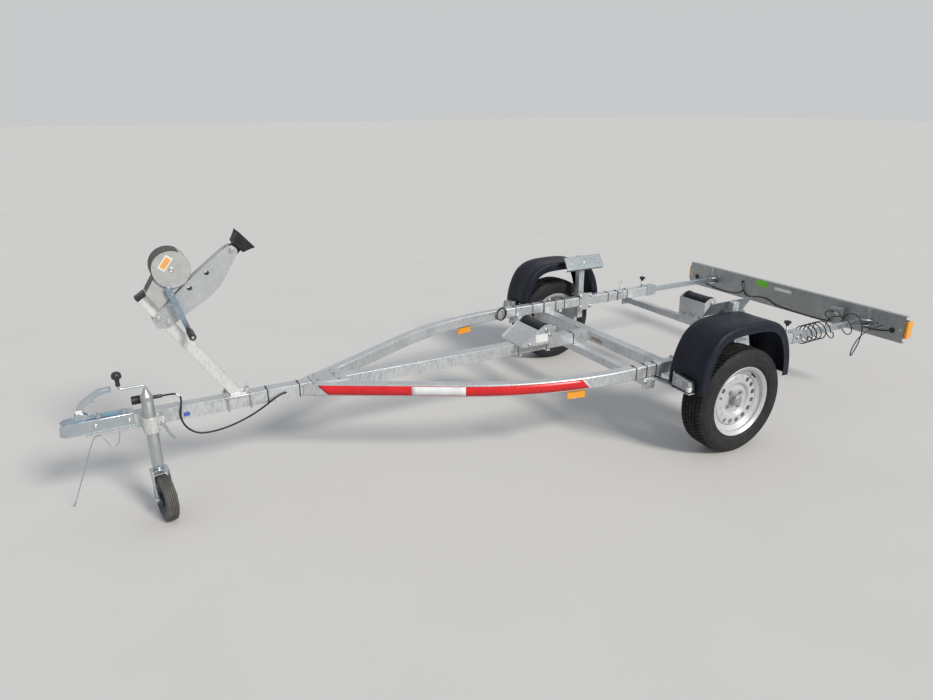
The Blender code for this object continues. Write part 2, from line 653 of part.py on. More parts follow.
def make_rim(side, sign):
    """Pressed steel wheel: barrel, dished disc with round vents, centre bore and hub cap."""
    half = RIM_WIDTH / 2
    face = RIM_WIDTH / 2 - (HUB_FACE_DEPTH - (TYRE_WIDTH - RIM_WIDTH) / 2)
    barrel = [(RIM_FLANGE_RADIUS, half), (RIM_FLANGE_RADIUS, half - 0.004), (RIM_BEAD_RADIUS, half - 0.012),
              (RIM_BEAD_RADIUS, half - 0.024), (RIM_WELL_RADIUS, half - 0.036), (RIM_WELL_RADIUS, -0.005),
              (RIM_BEAD_RADIUS, -half + 0.035), (RIM_BEAD_RADIUS, -half + 0.012),
              (RIM_FLANGE_RADIUS, -half + 0.004), (RIM_FLANGE_RADIUS, -half)]
    inside = [(RIM_FLANGE_RADIUS - RIM_WALL, -half), (RIM_BEAD_RADIUS - RIM_WALL, -half + 0.010),
              (RIM_BEAD_RADIUS - RIM_WALL, -half + 0.034), (RIM_WELL_RADIUS - RIM_WALL, -0.007)]
    back = [(RIM_WELL_RADIUS - RIM_WALL, face + 0.004), (VENT_CIRCLE + 0.014, face + 0.014),
            (VENT_CIRCLE - 0.014, face + 0.014), (HUB_RADIUS, face), (0, face)]
    front = [(0, face + RIM_WALL), (HUB_RADIUS - 0.004, face + RIM_WALL),
             (VENT_CIRCLE - 0.017, face + 0.014 + RIM_WALL), (VENT_CIRCLE + 0.016, face + 0.014 + RIM_WALL),
             (RIM_WELL_RADIUS - RIM_WALL, face + 0.010), (RIM_WELL_RADIUS - RIM_WALL, half - 0.035),
             (RIM_BEAD_RADIUS - RIM_WALL, half - 0.023), (RIM_BEAD_RADIUS - RIM_WALL, half - 0.010),
             (RIM_FLANGE_RADIUS - RIM_WALL, half)]
    profile = front + barrel + inside + back
    rim = turned("rim_" + side, profile, (0, sign * TYRE_CENTRE_Y, TYRE_RADIUS), (-90 * sign, 0, 0), 32)
    vents = []
    depth = face + 0.014 + RIM_WALL / 2
    for k in range(VENT_COUNT):
        turn = 2 * pi * (k + 0.5) / VENT_COUNT
        x, z = VENT_CIRCLE * cos(turn), TYRE_RADIUS + VENT_CIRCLE * sin(turn)
        y = sign * (TYRE_CENTRE_Y + depth)
        vents.append(rod("vent", (x, y - CUT_PAST, z), (x, y + CUT_PAST, z), VENT_RADIUS, 8))
    rim = cut(rim, *vents)
    face_y = sign * (TYRE_CENTRE_Y + face + RIM_WALL / 2)
    cap = rod("cap", (0, face_y, TYRE_RADIUS), (0, face_y + sign * HUB_CAP_HEIGHT, TYRE_RADIUS),
              HUB_CAP_RADIUS, 16, HUB_CAP_RADIUS * 0.8)
    return finish(join(rim, cap), "rim_silver")


def fender_outline(inset):
    """Mudguard arch in side view, at an inset from its outer surface."""
    half = FENDER_HALF_LENGTH - inset
    top = FENDER_TOP - inset
    knee_x, knee_z = half * 0.765, top - 0.058
    flat_x = half * 0.46
    bottom = FENDER_BOTTOM - (CUT_PAST if inset else 0)
    hip_z = FENDER_BOTTOM + (FENDER_TOP - FENDER_BOTTOM) * 0.45
    right = [(half, bottom), (half * 0.985, FENDER_BOTTOM + 0.09), (half * 0.925, hip_z + 0.04),
             (half * 0.845, top - 0.095), (knee_x, knee_z), (half * 0.63, top - 0.020), (flat_x, top)]
    return right + [(-x, z) for x, z in reversed(right)]


def make_fender(side, sign):
    width = FENDER_OUTER_Y - FENDER_INNER_Y
    middle = sign * (FENDER_OUTER_Y + FENDER_INNER_Y) / 2
    shell = plate("fender_" + side, fender_outline(0), width, "Y", middle)
    hollow = plate("hollow", fender_outline(FENDER_SKIN), width - 2 * FENDER_SKIN, "Y", middle)
    mouth = plate("mouth", fender_outline(FENDER_LIP), width + 2 * CUT_PAST, "Y", middle)
    return finish(cut(shell, hollow, mouth), "black_plastic")


def make_fender_stay(side, sign):
    """Flat bar from under the rail, along the mudguard's front foot, to the lamp."""
    rear, front = FENDER_HALF_LENGTH + GAP, STAY_FRONT_X
    low_y, high_y = sorted((sign * (RAIL_INNER_Y + 0.01), sign * (FRONT_LAMP_Y + FRONT_LAMP_WIDTH / 2)))
    top = FRONT_LAMP_BOTTOM - GAP
    bar = span("fender_stay_" + side, (rear, low_y, top - STAY_THICK), (front, high_y, top))
    foot_low, foot_high = sorted((sign * (RAIL_INNER_Y + 0.01), sign * RAIL_OUTER_Y))
    foot = span("foot", (rear, foot_low, top - STAY_THICK), (front, foot_high, FRAME_BOTTOM - GAP))
    return finish(join(bar, foot), "galvanised")


def make_wheels():
    for side, sign in SIDES:
        make_arm(side, sign)
        make_rim(side, sign)
        make_tyre(side, sign)
        make_fender(side, sign)
        make_fender_stay(side, sign)


# Coupling and jockey wheel

def make_coupling():
    """Pressed head over the drawbar's front end, with a rounded nose and ball cup."""
    half = COUPLING_WIDTH / 2
    middle = (COUPLING_TOP + COUPLING_BOTTOM) / 2
    neck_x = BALL_CENTRE_X - CHEEK_LENGTH
    nose = arc_points((BALL_CENTRE_X, 0), NOSE_RADIUS, -90, 90, 12)
    plan = [(COUPLING_REAR_X, half), (COUPLING_REAR_X, -half), (neck_x, -half)] + nose + [(neck_x, half)]
    head = plate("coupling_head", plan, COUPLING_TOP - COUPLING_BOTTOM, "Z", middle)
    brow = arc_points((BALL_CENTRE_X, COUPLING_TOP - NOSE_RADIUS), NOSE_RADIUS, NOSE_UNDERCUT, 90, 8)
    rear_x = COUPLING_REAR_X - CUT_PAST
    low = COUPLING_BOTTOM - CUT_PAST
    side = [(rear_x, low), (brow[0][0], low)] + brow + [(BALL_CENTRE_X, COUPLING_TOP + CUT_PAST),
                                                        (rear_x, COUPLING_TOP + CUT_PAST)]
    profile = plate("profile", side, COUPLING_WIDTH + 2 * CUT_PAST, "Y", 0)
    head = combine(head, [profile], "INTERSECT")
    slot_half = DRAWBAR_WIDTH / 2 + GAP
    slot = span("slot", (rear_x, -slot_half, low), (DRAWBAR_FRONT_X + GAP, slot_half, FRAME_TOP + GAP))
    cup = rod("cup", (BALL_CENTRE_X, 0, low), (BALL_CENTRE_X, 0, COUPLING_TOP - CUP_ROOF), CUP_RADIUS, 16)
    finish(cut(head, slot, cup), "zinc")
    finish(plate("coupling_lever", LEVER_OUTLINE, LEVER_WIDTH, "Y", 0), "zinc")


def make_jockey_clamp():
    """Split block that grips the jockey tube beside the drawbar."""
    bore = JOCKEY_TUBE_RADIUS + GAP
    outer = bore + CLAMP_WALL
    low, high = MIDDLE_Z - CLAMP_HEIGHT / 2, MIDDLE_Z + CLAMP_HEIGHT / 2
    ring = rod("jockey_clamp", (JOCKEY_X, JOCKEY_Y, low), (JOCKEY_X, JOCKEY_Y, high), outer)
    mount = span("mount", (JOCKEY_X - CLAMP_LENGTH / 2, DRAWBAR_WIDTH / 2 + GAP, low + PLATE),
                 (JOCKEY_X + CLAMP_LENGTH / 2, JOCKEY_Y - bore + PLATE, high - PLATE))
    hole = rod("hole", (JOCKEY_X, JOCKEY_Y, low - CUT_PAST), (JOCKEY_X, JOCKEY_Y, high + CUT_PAST), bore)
    lug_x = JOCKEY_X - outer
    lug_half = CLAMP_LUG_HALF
    lug = span("lug", (lug_x - CLAMP_LUG, JOCKEY_Y - lug_half, low + lug_half),
               (lug_x + CLAMP_WALL / 2, JOCKEY_Y + lug_half, high - lug_half))
    end_x, end_z = CLAMP_HANDLE_END
    handle = rod("handle", (lug_x - lug_half, JOCKEY_Y, MIDDLE_Z), (end_x, JOCKEY_Y, end_z),
                 CLAMP_HANDLE_RADIUS, 8)
    return finish(join(cut(join(ring, mount), hole), lug, handle), "zinc")


def make_jockey_mast():
    at = (JOCKEY_X, JOCKEY_Y)
    inner = JOCKEY_TUBE_RADIUS - JOCKEY_TUBE_WALL
    roof = JOCKEY_TUBE_TOP - CUT_PAST
    outline = [(0, JOCKEY_CAP_TOP), (CAP_TIP_RADIUS, JOCKEY_CAP_TOP), (JOCKEY_TUBE_RADIUS, JOCKEY_TUBE_TOP),
               (JOCKEY_TUBE_RADIUS, JOCKEY_TUBE_BOTTOM), (inner, JOCKEY_TUBE_BOTTOM),
               (inner, roof), (0, roof)]
    tube = turned("jockey_tube", outline, (*at, 0))
    finish(tube, "zinc")
    rise = JOCKEY_CRANK_TOP - CRANK_ROD_RADIUS
    knob_x = JOCKEY_X + JOCKEY_CRANK_REACH
    turn = 2 * CRANK_ROD_RADIUS
    bend = smooth_route([(*at, JOCKEY_CAP_TOP + GAP), (*at, rise - 0.4 * turn),
                         (JOCKEY_X + turn, JOCKEY_Y, rise),
                         (knob_x - 1.2 * turn, JOCKEY_Y, rise), (knob_x, JOCKEY_Y, rise + turn),
                         (knob_x, JOCKEY_Y, rise + 2.2 * turn)], 0.8 * turn)
    crank = wire("jockey_crank", bend, CRANK_ROD_RADIUS, 1)
    knob = turned("knob", CRANK_KNOB, (knob_x, JOCKEY_Y, rise), sides=16)
    finish(join(crank, knob), "zinc")


def make_jockey_leg():
    at = (JOCKEY_X, JOCKEY_Y)
    radius = JOCKEY_TUBE_RADIUS - JOCKEY_TUBE_WALL - GAP
    top = JOCKEY_TUBE_BOTTOM + LEG_INSIDE_TUBE + JOCKEY_LIFT
    leg = rod("jockey_leg", (*at, JOCKEY_TUBE_BOTTOM - LEG_BELOW_TUBE), (*at, top), radius)
    return finish(leg, "zinc")


def make_jockey_fork():
    """Swivelling fork and its wheel, turned about the jockey tube's axis."""
    pivot = bpy.data.objects.new("jockey_pivot", None)
    pivot.location = (JOCKEY_X, JOCKEY_Y, 0)
    pivot.rotation_euler = (0, 0, radians(JOCKEY_SWIVEL))
    pivot.parent = ORIGIN
    PARTS.objects.link(pivot)
    head_top = JOCKEY_TUBE_BOTTOM - LEG_BELOW_TUBE - GAP
    head_low = JOCKEY_WHEEL_RADIUS * 2 + FORK_CLEARANCE
    inner = JOCKEY_WHEEL_WIDTH / 2 + FORK_GAP
    head = box("jockey_fork", (2 * inner + FORK_PLATE, FORK_HEAD_WIDTH, head_top - head_low),
               (0, FORK_HEAD_SHIFT, (head_top + head_low) / 2))
    cheeks = []
    for sign in (1, -1):
        cheek_top = head_top - FORK_PLATE / 2
        outline = [(-0.015, cheek_top), (0.035, cheek_top), (JOCKEY_TRAIL + 0.015, JOCKEY_WHEEL_RADIUS)]
        outline += [(JOCKEY_TRAIL, JOCKEY_WHEEL_RADIUS - 0.016), (JOCKEY_TRAIL - 0.016, JOCKEY_WHEEL_RADIUS)]
        cheek = plate("cheek", outline, FORK_PLATE, "Y", 0)
        cheek.rotation_euler = (radians(90), 0, radians(90))
        cheek.location = (sign * (inner + FORK_PLATE / 2), 0, 0)
        cheeks.append(cheek)
    pin_end = inner + 2.5 * FORK_PLATE
    axle = rod("axle", (-pin_end, JOCKEY_TRAIL, JOCKEY_WHEEL_RADIUS),
               (pin_end, JOCKEY_TRAIL, JOCKEY_WHEEL_RADIUS), FORK_PIN_RADIUS, SMALL_SIDES)
    fork = join(head, *cheeks, axle)
    fork.parent = pivot
    finish(fork, "zinc")
    half = JOCKEY_WHEEL_WIDTH / 2
    bore = FORK_PIN_RADIUS + GAP
    radius = JOCKEY_WHEEL_RADIUS
    profile = [(bore, half), (radius * 0.30, half), (radius * 0.34, half * 0.55),
               (radius * 0.72, half * 0.55), (radius * 0.78, half), (radius * 0.94, half),
               (radius, half * 0.6)]
    profile = profile + [(r, -h) for r, h in reversed(profile)]
    wheel = turned("jockey_wheel", profile, (0, JOCKEY_TRAIL, radius), (0, 90, 0), 32, closed=True)
    wheel.parent = pivot
    finish(wheel, "black_rubber", 40)


# Winch stand

def make_winch_post():
    run, rise = POST_TOP_X - POST_FOOT_X, POST_TOP_Z - FRAME_TOP
    length = hypot(run, rise)
    lean = degrees(atan2(run, rise))
    base_top = FRAME_TOP + GAP + PLATE
    middle_x, middle_z = (POST_FOOT_X + POST_TOP_X) / 2, (FRAME_TOP + POST_TOP_Z) / 2
    post = box("winch_post", (POST_SIZE, POST_SIZE, length), (middle_x, 0, middle_z), (0, lean, 0))
    below = span("below", (POST_FOOT_X - 0.2, -0.1, FRAME_BOTTOM - 0.1),
                 (POST_FOOT_X + 0.2, 0.1, FRAME_TOP + GAP))
    post = cut(post, below)
    base = span("base", (POST_FOOT_X - POST_BASE_LENGTH / 2, -POST_BASE_WIDTH / 2, FRAME_TOP + GAP),
                (POST_FOOT_X + POST_BASE_LENGTH / 2, POST_BASE_WIDTH / 2, base_top))
    return finish(join(post, base), "galvanised")


def make_bow_bracket():
    """Two side plates on the post, joined along their top edge, reaching back to the bow stop."""
    outline = BOW_BRACKET_OUTLINE
    plates = [plate("bow_bracket", outline, BOW_PLATE, "Y", sign * (BOW_PLATE_HALF + BOW_PLATE / 2))
              for sign in (1, -1)]
    (front_x, front_z), (rear_x, rear_z) = outline[:2]
    run, rise = rear_x - front_x, rear_z - front_z
    middle = ((front_x + rear_x) / 2, 0, (front_z + rear_z) / 2 - 0.75 * BOW_PLATE)
    tilt = degrees(atan2(-rise, run))
    bridge = box("bridge", (hypot(run, rise), 2 * BOW_PLATE_HALF + BOW_PLATE, BOW_PLATE), middle,
                 (0, tilt, 0))
    return finish(join(plates[0], plates[1], bridge), "galvanised")


def make_snubber():
    """Rubber bow stop: a stem between the plates and a wider head with a shallow V in its face."""
    slope = radians(180 - SNUBBER_RISE)

    def section(stretch, back_half, front_half):
        back, front = stretch
        corners = ((back, back_half), (front, front_half), (front, -front_half), (back, -back_half))
        return [(BOW_TIP_X + a * cos(slope) - b * sin(slope), BOW_TIP_Z + a * sin(slope) + b * cos(slope))
                for a, b in corners]

    stem = plate("bow_rubber", section(SNUBBER_STEM, SNUBBER_STEM_HALF, SNUBBER_STEM_HALF),
                 2 * (BOW_PLATE_HALF - GAP), "Y", 0)
    head = plate("head", section(SNUBBER_HEAD, SNUBBER_HEAD_BACK / 2, SNUBBER_FACE / 2),
                 SNUBBER_WIDTH, "Y", 0)
    face = SNUBBER_HEAD[1]
    half = SNUBBER_GROOVE / 2
    past = CUT_PAST * half / SNUBBER_GROOVE_DEPTH
    vee = plate("vee", [(0, -SNUBBER_GROOVE_DEPTH), (half + past, CUT_PAST), (-half - past, CUT_PAST)],
                2 * SNUBBER_FACE, "Z", 0)
    lie = Matrix(((0, cos(slope), -sin(slope)), (1, 0, 0), (0, sin(slope), cos(slope))))
    at = (BOW_TIP_X + face * cos(slope), 0, BOW_TIP_Z + face * sin(slope))
    vee.matrix_basis = Matrix.Translation(at) @ lie.to_4x4()
    return finish(cut(join(stem, head), vee), "black_rubber")


def make_winch():
    """Side plates with the round gear cover, the drum between them and the crank outside."""
    along = (sin(POST_LEAN), cos(POST_LEAN))
    away = (-cos(POST_LEAN), sin(POST_LEAN))

    def on_post(back, lift):
        return (POST_TOP_X - along[0] * back + away[0] * lift, POST_TOP_Z - along[1] * back + away[1] * lift)

    seat = POST_SIZE / 2 + GAP
    top = on_post(WINCH_BASE_FROM_TOP, seat)
    low = on_post(WINCH_BASE_FROM_TOP + WINCH_BASE_LENGTH, seat)
    disc = arc_points((WINCH_X, WINCH_Z), WINCH_DISC_RADIUS, -25, 245, 26)
    side_y = WINCH_HALF + WINCH_PLATE / 2
    plates = [plate("winch_frame", disc + [low, top], WINCH_PLATE, "Y", sign * side_y)
              for sign in (1, -1)]
    low_out = on_post(WINCH_BASE_FROM_TOP + WINCH_BASE_LENGTH, seat + WINCH_PLATE)
    top_out = on_post(WINCH_BASE_FROM_TOP, seat + WINCH_PLATE)
    base = plate("base", [top, low, low_out, top_out], 2 * WINCH_HALF + WINCH_PLATE, "Y", 0)
    cover = rod("cover", (WINCH_X, WINCH_HALF + WINCH_PLATE / 2, WINCH_Z), (WINCH_X, WINCH_OUTER, WINCH_Z),
                WINCH_DISC_RADIUS - WINCH_COVER_INSET, 36)
    bores = [rod("bore", (x, -WINCH_HALF - CUT_PAST, z), (x, reach, z), radius + GAP, SMALL_SIDES)
             for x, z, radius, reach in ((WINCH_X, WINCH_Z, DRUM_PIN_RADIUS, WINCH_HALF + WINCH_PLATE),
                                         (CRANK_X, CRANK_Z, CRANK_PIN_RADIUS, WINCH_OUTER + CUT_PAST))]
    finish(cut(join(plates[0], plates[1], base, cover), *bores), "winch_cover")
    half = WINCH_HALF - DRUM_SIDE_GAP
    drum_profile = [(0, WINCH_HALF + WINCH_PLATE - GAP), (DRUM_PIN_RADIUS, WINCH_HALF + WINCH_PLATE - GAP),
                    (DRUM_PIN_RADIUS, half), (DRUM_FLANGE_RADIUS, half), (DRUM_FLANGE_RADIUS, half - 0.003),
                    (DRUM_RADIUS, half - 0.003)]
    drum_profile += [(r, -h) for r, h in reversed(drum_profile)]
    finish(turned("winch_drum", drum_profile, (WINCH_X, 0, WINCH_Z), (90, 0, 0)), "zinc")


def make_crank():
    inner = WINCH_OUTER + CRANK_SIDE_GAP
    middle_y = inner + CRANK_BAR_THICK / 2
    turn = radians(CRANK_ANGLE)
    end_x, end_z = CRANK_X - CRANK_LENGTH * sin(turn), CRANK_Z - CRANK_LENGTH * cos(turn)
    half = CRANK_BAR_WIDTH / 2
    heading = degrees(atan2(end_z - CRANK_Z, end_x - CRANK_X))
    outline = arc_points((CRANK_X, CRANK_Z), half, heading + 90, heading + 270, 8)
    outline += arc_points((end_x, end_z), half, heading - 90, heading + 90, 8)
    bar = plate("winch_crank", outline, CRANK_BAR_THICK, "Y", middle_y)
    pin = rod("pin", (CRANK_X, -WINCH_HALF - WINCH_PLATE, CRANK_Z), (CRANK_X, middle_y + 0.010, CRANK_Z),
              CRANK_PIN_RADIUS, SMALL_SIDES)
    grip = rod("grip", (end_x, middle_y, end_z), (end_x, middle_y + GRIP_LENGTH, end_z), GRIP_RADIUS, 16)
    crank = finish(join(bar, pin, grip), "zinc")
    move_origin(crank, (CRANK_X, 0, CRANK_Z))


def move_origin(item, point):
    """Put an object's origin on its joint, with its shape left where it is."""
    bpy.context.view_layer.update()
    shift = item.matrix_basis.inverted() @ Matrix.Translation(-Vector(point)) @ item.matrix_basis
    offset = item.matrix_basis.inverted() @ Vector(point)
    item.data.transform(Matrix.Translation(-offset))
    item.location = point


# Keel rollers and bunks

def make_roller_bracket(name, outline, web, base):
    """Two side plates, a web between them and a foot, from outlines in side view."""
    outer = ROLLER_HALF + ROLLER_SIDE_GAP
    plates = [plate(name, outline, ROLLER_PLATE, "Y", sign * (outer + ROLLER_PLATE / 2)) for sign in (1, -1)]
    width = 2 * outer + ROLLER_PLATE
    others = [plate("web", web, width, "Y", 0), plate("foot", base, width, "Y", 0)]
    return join(plates[0], plates[1], *others)


def make_roller(place_name, x, z):
    reach = ROLLER_HALF + ROLLER_SIDE_GAP + ROLLER_PLATE + 0.006
    radius = ROLLER_RADIUS
    profile = [(0, reach), (ROLLER_PIN_RADIUS, reach), (ROLLER_PIN_RADIUS, ROLLER_HALF),
               (radius, ROLLER_HALF), (radius, ROLLER_HALF - 0.012), (radius * 0.9, ROLLER_HALF - 0.030)]
    profile += [(r, -h) for r, h in reversed(profile)]
    finish(turned("keel_roller_" + place_name, profile, (x, 0, z), (90, 0, 0), 20), "black_rubber")


def make_keel_rollers():
    foot = FRAME_TOP + GAP
    x, z = ROLLER_FRONT_X, ROLLER_FRONT_Z
    outline = [(x + 0.150, foot), (x + 0.150, foot + 0.018), (x + 0.012, z + 0.032), (x - 0.025, z + 0.032),
               (x - 0.045, z + 0.018), (x - 0.047, z - 0.015), (x - 0.085, z - 0.030), (x - 0.087, foot)]
    web = [(x + 0.150, foot), (x + 0.150, foot + PLATE), (x + 0.048, z + 0.008), (x + 0.044, z + 0.004),
           (x + 0.120, foot + PLATE)]
    base = [(x - 0.087, foot), (x + 0.150, foot), (x + 0.150, foot + PLATE), (x - 0.087, foot + PLATE)]
    bracket = make_roller_bracket("roller_bracket_front", outline, web, base)
    bore = rod("bore", (x, -DRILL_REACH, z), (x, DRILL_REACH, z), ROLLER_PIN_RADIUS + GAP, SMALL_SIDES)
    finish(cut(bracket, bore), "galvanised")
    make_roller("front", x, z)

    foot = CROSS_TOP + GAP
    x, z = ROLLER_REAR_X, ROLLER_REAR_Z
    front = CROSSBAR_REAR_X + CROSSBAR_WIDTH / 2
    outline = [(front, foot), (front + 0.004, z + 0.006), (x + 0.015, z + 0.030), (x - 0.020, z + 0.030),
               (x - 0.040, z), (CROSSBAR_REAR_X - 0.045, foot)]
    web = [(front, foot), (front + 0.004, z + 0.006), (front, z + 0.006), (front - 0.005, foot)]
    base = [(CROSSBAR_REAR_X - 0.045, foot), (front, foot), (front, foot + PLATE),
            (CROSSBAR_REAR_X - 0.045, foot + PLATE)]
    bracket = make_roller_bracket("roller_bracket_rear", outline, web, base)
    bore = rod("bore", (x, -DRILL_REACH, z), (x, DRILL_REACH, z), ROLLER_PIN_RADIUS + GAP, SMALL_SIDES)
    finish(cut(bracket, bore), "galvanised")
    make_roller("rear", x, z)


def make_bunks():
    """Side supports: a square post outside each rail, its clamp plate and a tilted, lipped pad."""
    angle = radians(BUNK_TILT)
    for side, sign in SIDES:
        tilt = sign * BUNK_TILT

        def against_pad(depth):
            return (BUNK_X, sign * (BUNK_PAD_Y + depth * sin(angle)), BUNK_PAD_Z - depth * cos(angle))

        pad = box("bunk_pad_" + side, (BUNK_PAD_LENGTH, BUNK_PAD_WIDTH, BUNK_PAD_THICK),
                  against_pad(BUNK_PAD_THICK / 2), (tilt, 0, 0))
        across = BUNK_PAD_WIDTH / 2 - BUNK_PAD_THICK / 2
        depth = BUNK_PAD_LIP / 2 + BUNK_PAD_THICK / 4
        lip_y, lip_z = against_pad(depth)[1:]
        lip = box("lip", (BUNK_PAD_LENGTH, BUNK_PAD_THICK, BUNK_PAD_LIP - BUNK_PAD_THICK / 2),
                  (BUNK_X, lip_y - sign * across * cos(angle), lip_z - across * sin(angle)), (tilt, 0, 0))
        finish(join(pad, lip), "galvanised")
        low_y, high_y = sorted((sign * (RAIL_OUTER_Y + GAP), sign * (RAIL_OUTER_Y + GAP + BUNK_POST)))
        post_top = BUNK_PAD_Z + BUNK_PAD_WIDTH / 2 * sin(angle) - BUNK_POST_SHY
        post = span("bunk_post_" + side, (BUNK_X - BUNK_POST / 2, low_y, BUNK_POST_BOTTOM),
                    (BUNK_X + BUNK_POST / 2, high_y, post_top))
        block = 2 * BUNK_PAD_WIDTH
        above = box("above", (BUNK_PAD_LENGTH, 2 * block, block),
                    against_pad(BUNK_PAD_THICK + GAP - block / 2), (tilt, 0, 0))
        bore = BUNK_POST / 2 - TUBE_WALL
        hollow = span("hollow", (BUNK_X - bore, low_y + TUBE_WALL, BUNK_POST_BOTTOM - CUT_PAST),
                      (BUNK_X + bore, high_y - TUBE_WALL, BUNK_POST_BOTTOM + BUNK_POST_OPEN))
        post = cut(post, above, hollow)
        inner = RAIL_INNER_Y - GAP - PLATE
        low_y, high_y = sorted((sign * inner, sign * (inner + PLATE)))
        clamp_plate = span("clamp",
                           (BUNK_X - BUNK_PLATE_LENGTH / 2, low_y, MIDDLE_Z - BUNK_PLATE_HEIGHT / 2),
                           (BUNK_X + BUNK_PLATE_LENGTH / 2, high_y, MIDDLE_Z + BUNK_PLATE_HEIGHT / 2))
        bolts = []
        end_x = BUNK_PLATE_LENGTH / 2 - BOLT_RADIUS
        leg_in = sign * (inner + PLATE / 2)
        leg_out = sign * (BUNK_POST_Y + BUNK_POST / 2 - BOLT_RADIUS)
        turn_out = leg_out + sign * 2 * BOLT_RADIUS
        for level in (1, -1):
            at_z = MIDDLE_Z + level * (TUBE_HEIGHT / 2 + BOLT_RADIUS + GAP)
            loop = [(BUNK_X + end_x, leg_in), (BUNK_X + end_x, turn_out), (BUNK_X - end_x, turn_out),
                    (BUNK_X - end_x, leg_in), (BUNK_X - end_x + 2 * BOLT_RADIUS, leg_in),
                    (BUNK_X - end_x + 2 * BOLT_RADIUS, leg_out), (BUNK_X + end_x - 2 * BOLT_RADIUS, leg_out),
                    (BUNK_X + end_x - 2 * BOLT_RADIUS, leg_in)]
            bolts.append(plate("bolt", loop, 2 * BOLT_RADIUS, "Z", at_z))
        finish(join(post, clamp_plate, *bolts), "galvanised")


# Lights

def make_board():
    """Folded sheet: a tall face with a short flange turned back along the top and the bottom."""
    face, back = BOARD_FACE_X, BOARD_FACE_X - BOARD_FLANGE
    sheet = BOARD_SHEET
    outline = [(face, BOARD_BOTTOM), (face, BOARD_TOP), (back, BOARD_TOP), (back, BOARD_TOP - sheet),
               (face - sheet, BOARD_TOP - sheet), (face - sheet, BOARD_BOTTOM + sheet),
               (back, BOARD_BOTTOM + sheet), (back, BOARD_BOTTOM)]
    board = plate("light_board", outline, 2 * BOARD_HALF, "Y", 0)
    lamp_middle = (BOARD_TOP + BOARD_BOTTOM) / 2
    rear = BOARD_FACE_X - BOARD_SHEET
    pad = span("number_plate_pad",
               (rear - NUMBER_PLATE_PAD, -NUMBER_PLATE_LENGTH / 2, lamp_middle - NUMBER_PLATE_HEIGHT / 2),
               (rear + BOARD_SHEET / 2, NUMBER_PLATE_LENGTH / 2, lamp_middle + NUMBER_PLATE_HEIGHT / 2))
    finish(join(board, pad), "galvanised")
    half = BOARD_ARM / 2
    lamp_front = rear - GAP
    for side, sign in SIDES:
        arm = span("light_arm_" + side, (BOARD_FACE_X + GAP, sign * RAIL_Y - half, MIDDLE_Z - half),
                   (ARM_FRONT_X, sign * RAIL_Y + half, MIDDLE_Z + half))
        finish(arm, "zinc")
        lamp = span("rear_lamp_" + side,
                    (LAMP_REAR_X, sign * LAMP_CENTRE_Y - LAMP_LENGTH / 2, lamp_middle - LAMP_HEIGHT / 2),
                    (lamp_front, sign * LAMP_CENTRE_Y + LAMP_LENGTH / 2, lamp_middle + LAMP_HEIGHT / 2))
        finish(lamp, "lamp_red")
        knob_low = FRAME_TOP + GAP
        knob = turned("rail_knob_" + side,
                      [(0, KNOB_TOP), (KNOB_RADIUS * 0.7, KNOB_TOP), (KNOB_RADIUS, KNOB_TOP - 0.006),
                       (KNOB_RADIUS, KNOB_TOP - 0.018), (0.008, KNOB_TOP - 0.024), (0.006, knob_low + 0.010),
                       (0.012, knob_low + 0.010), (0.012, knob_low), (0, knob_low)],
                      (KNOB_X, sign * RAIL_Y, 0), sides=16)
        finish(knob, "black_plastic")


def make_front_lamps():
    for side, sign in SIDES:
        middle = sign * FRONT_LAMP_Y
        lamp = span("front_lamp_" + side,
                    (FRONT_LAMP_X - FRONT_LAMP_DEPTH / 2, middle - FRONT_LAMP_WIDTH / 2, FRONT_LAMP_BOTTOM),
                    (FRONT_LAMP_X + FRONT_LAMP_DEPTH / 2, middle + FRONT_LAMP_WIDTH / 2,
                     FRONT_LAMP_BOTTOM + FRONT_LAMP_HEIGHT))
        finish(lamp, "lamp_clear")
        heading = asin((REFLECTOR_X - RAIL_BEND_X) / RAIL_BEND_RADIUS)
        reflector_y = RAIL_Y - RAIL_BEND_RADIUS * (1 - cos(heading))
        reflector = box("side_reflector_" + side, (REFLECTOR_LENGTH, REFLECTOR_THICK, REFLECTOR_HEIGHT),
                        (REFLECTOR_X, sign * reflector_y, CROSS_TOP - REFLECTOR_HEIGHT / 2),
                        (0, 0, -sign * degrees(heading)))
        finish(reflector, "amber")


# Cords

def make_cord(name, route, diameter, points_apart, material):
    """A round cord through a route's points, a few diameters between them."""
    return finish(wire(name, smooth_route(route, diameter * points_apart), diameter / 2), material)


def make_cords():
    plug = rod("plug_front", (PLUG_REAR_X, PLUG_Y, PLUG_Z), (PLUG_REAR_X + PLUG_LENGTH, PLUG_Y, PLUG_Z),
               PLUG_RADIUS, 16)
    finish(plug, "black_plastic")
    make_cord("lead_front", LEAD_ROUTE, LEAD_DIAMETER, 2.6, "black_plastic")
    make_cord("safety_cable", SAFETY_ROUTE, ROPE_DIAMETER, 3, "steel_rope")
    make_cord("wiring_rear", WIRING_ROUTE, WIRING_DIAMETER, 2.8, "black_plastic")
    half = (COIL_FRONT_X - COIL_REAR_X) / 2
    profile = [(COIL_RADIUS, half), (COIL_RADIUS, -half), (COIL_BORE, -half), (COIL_BORE, half)]
    coil = turned("wiring_coil", profile, ((COIL_FRONT_X + COIL_REAR_X) / 2, RAIL_Y, MIDDLE_Z),
                  (0, 90, 0), 20, closed=True)
    finish(coil, "black_plastic")


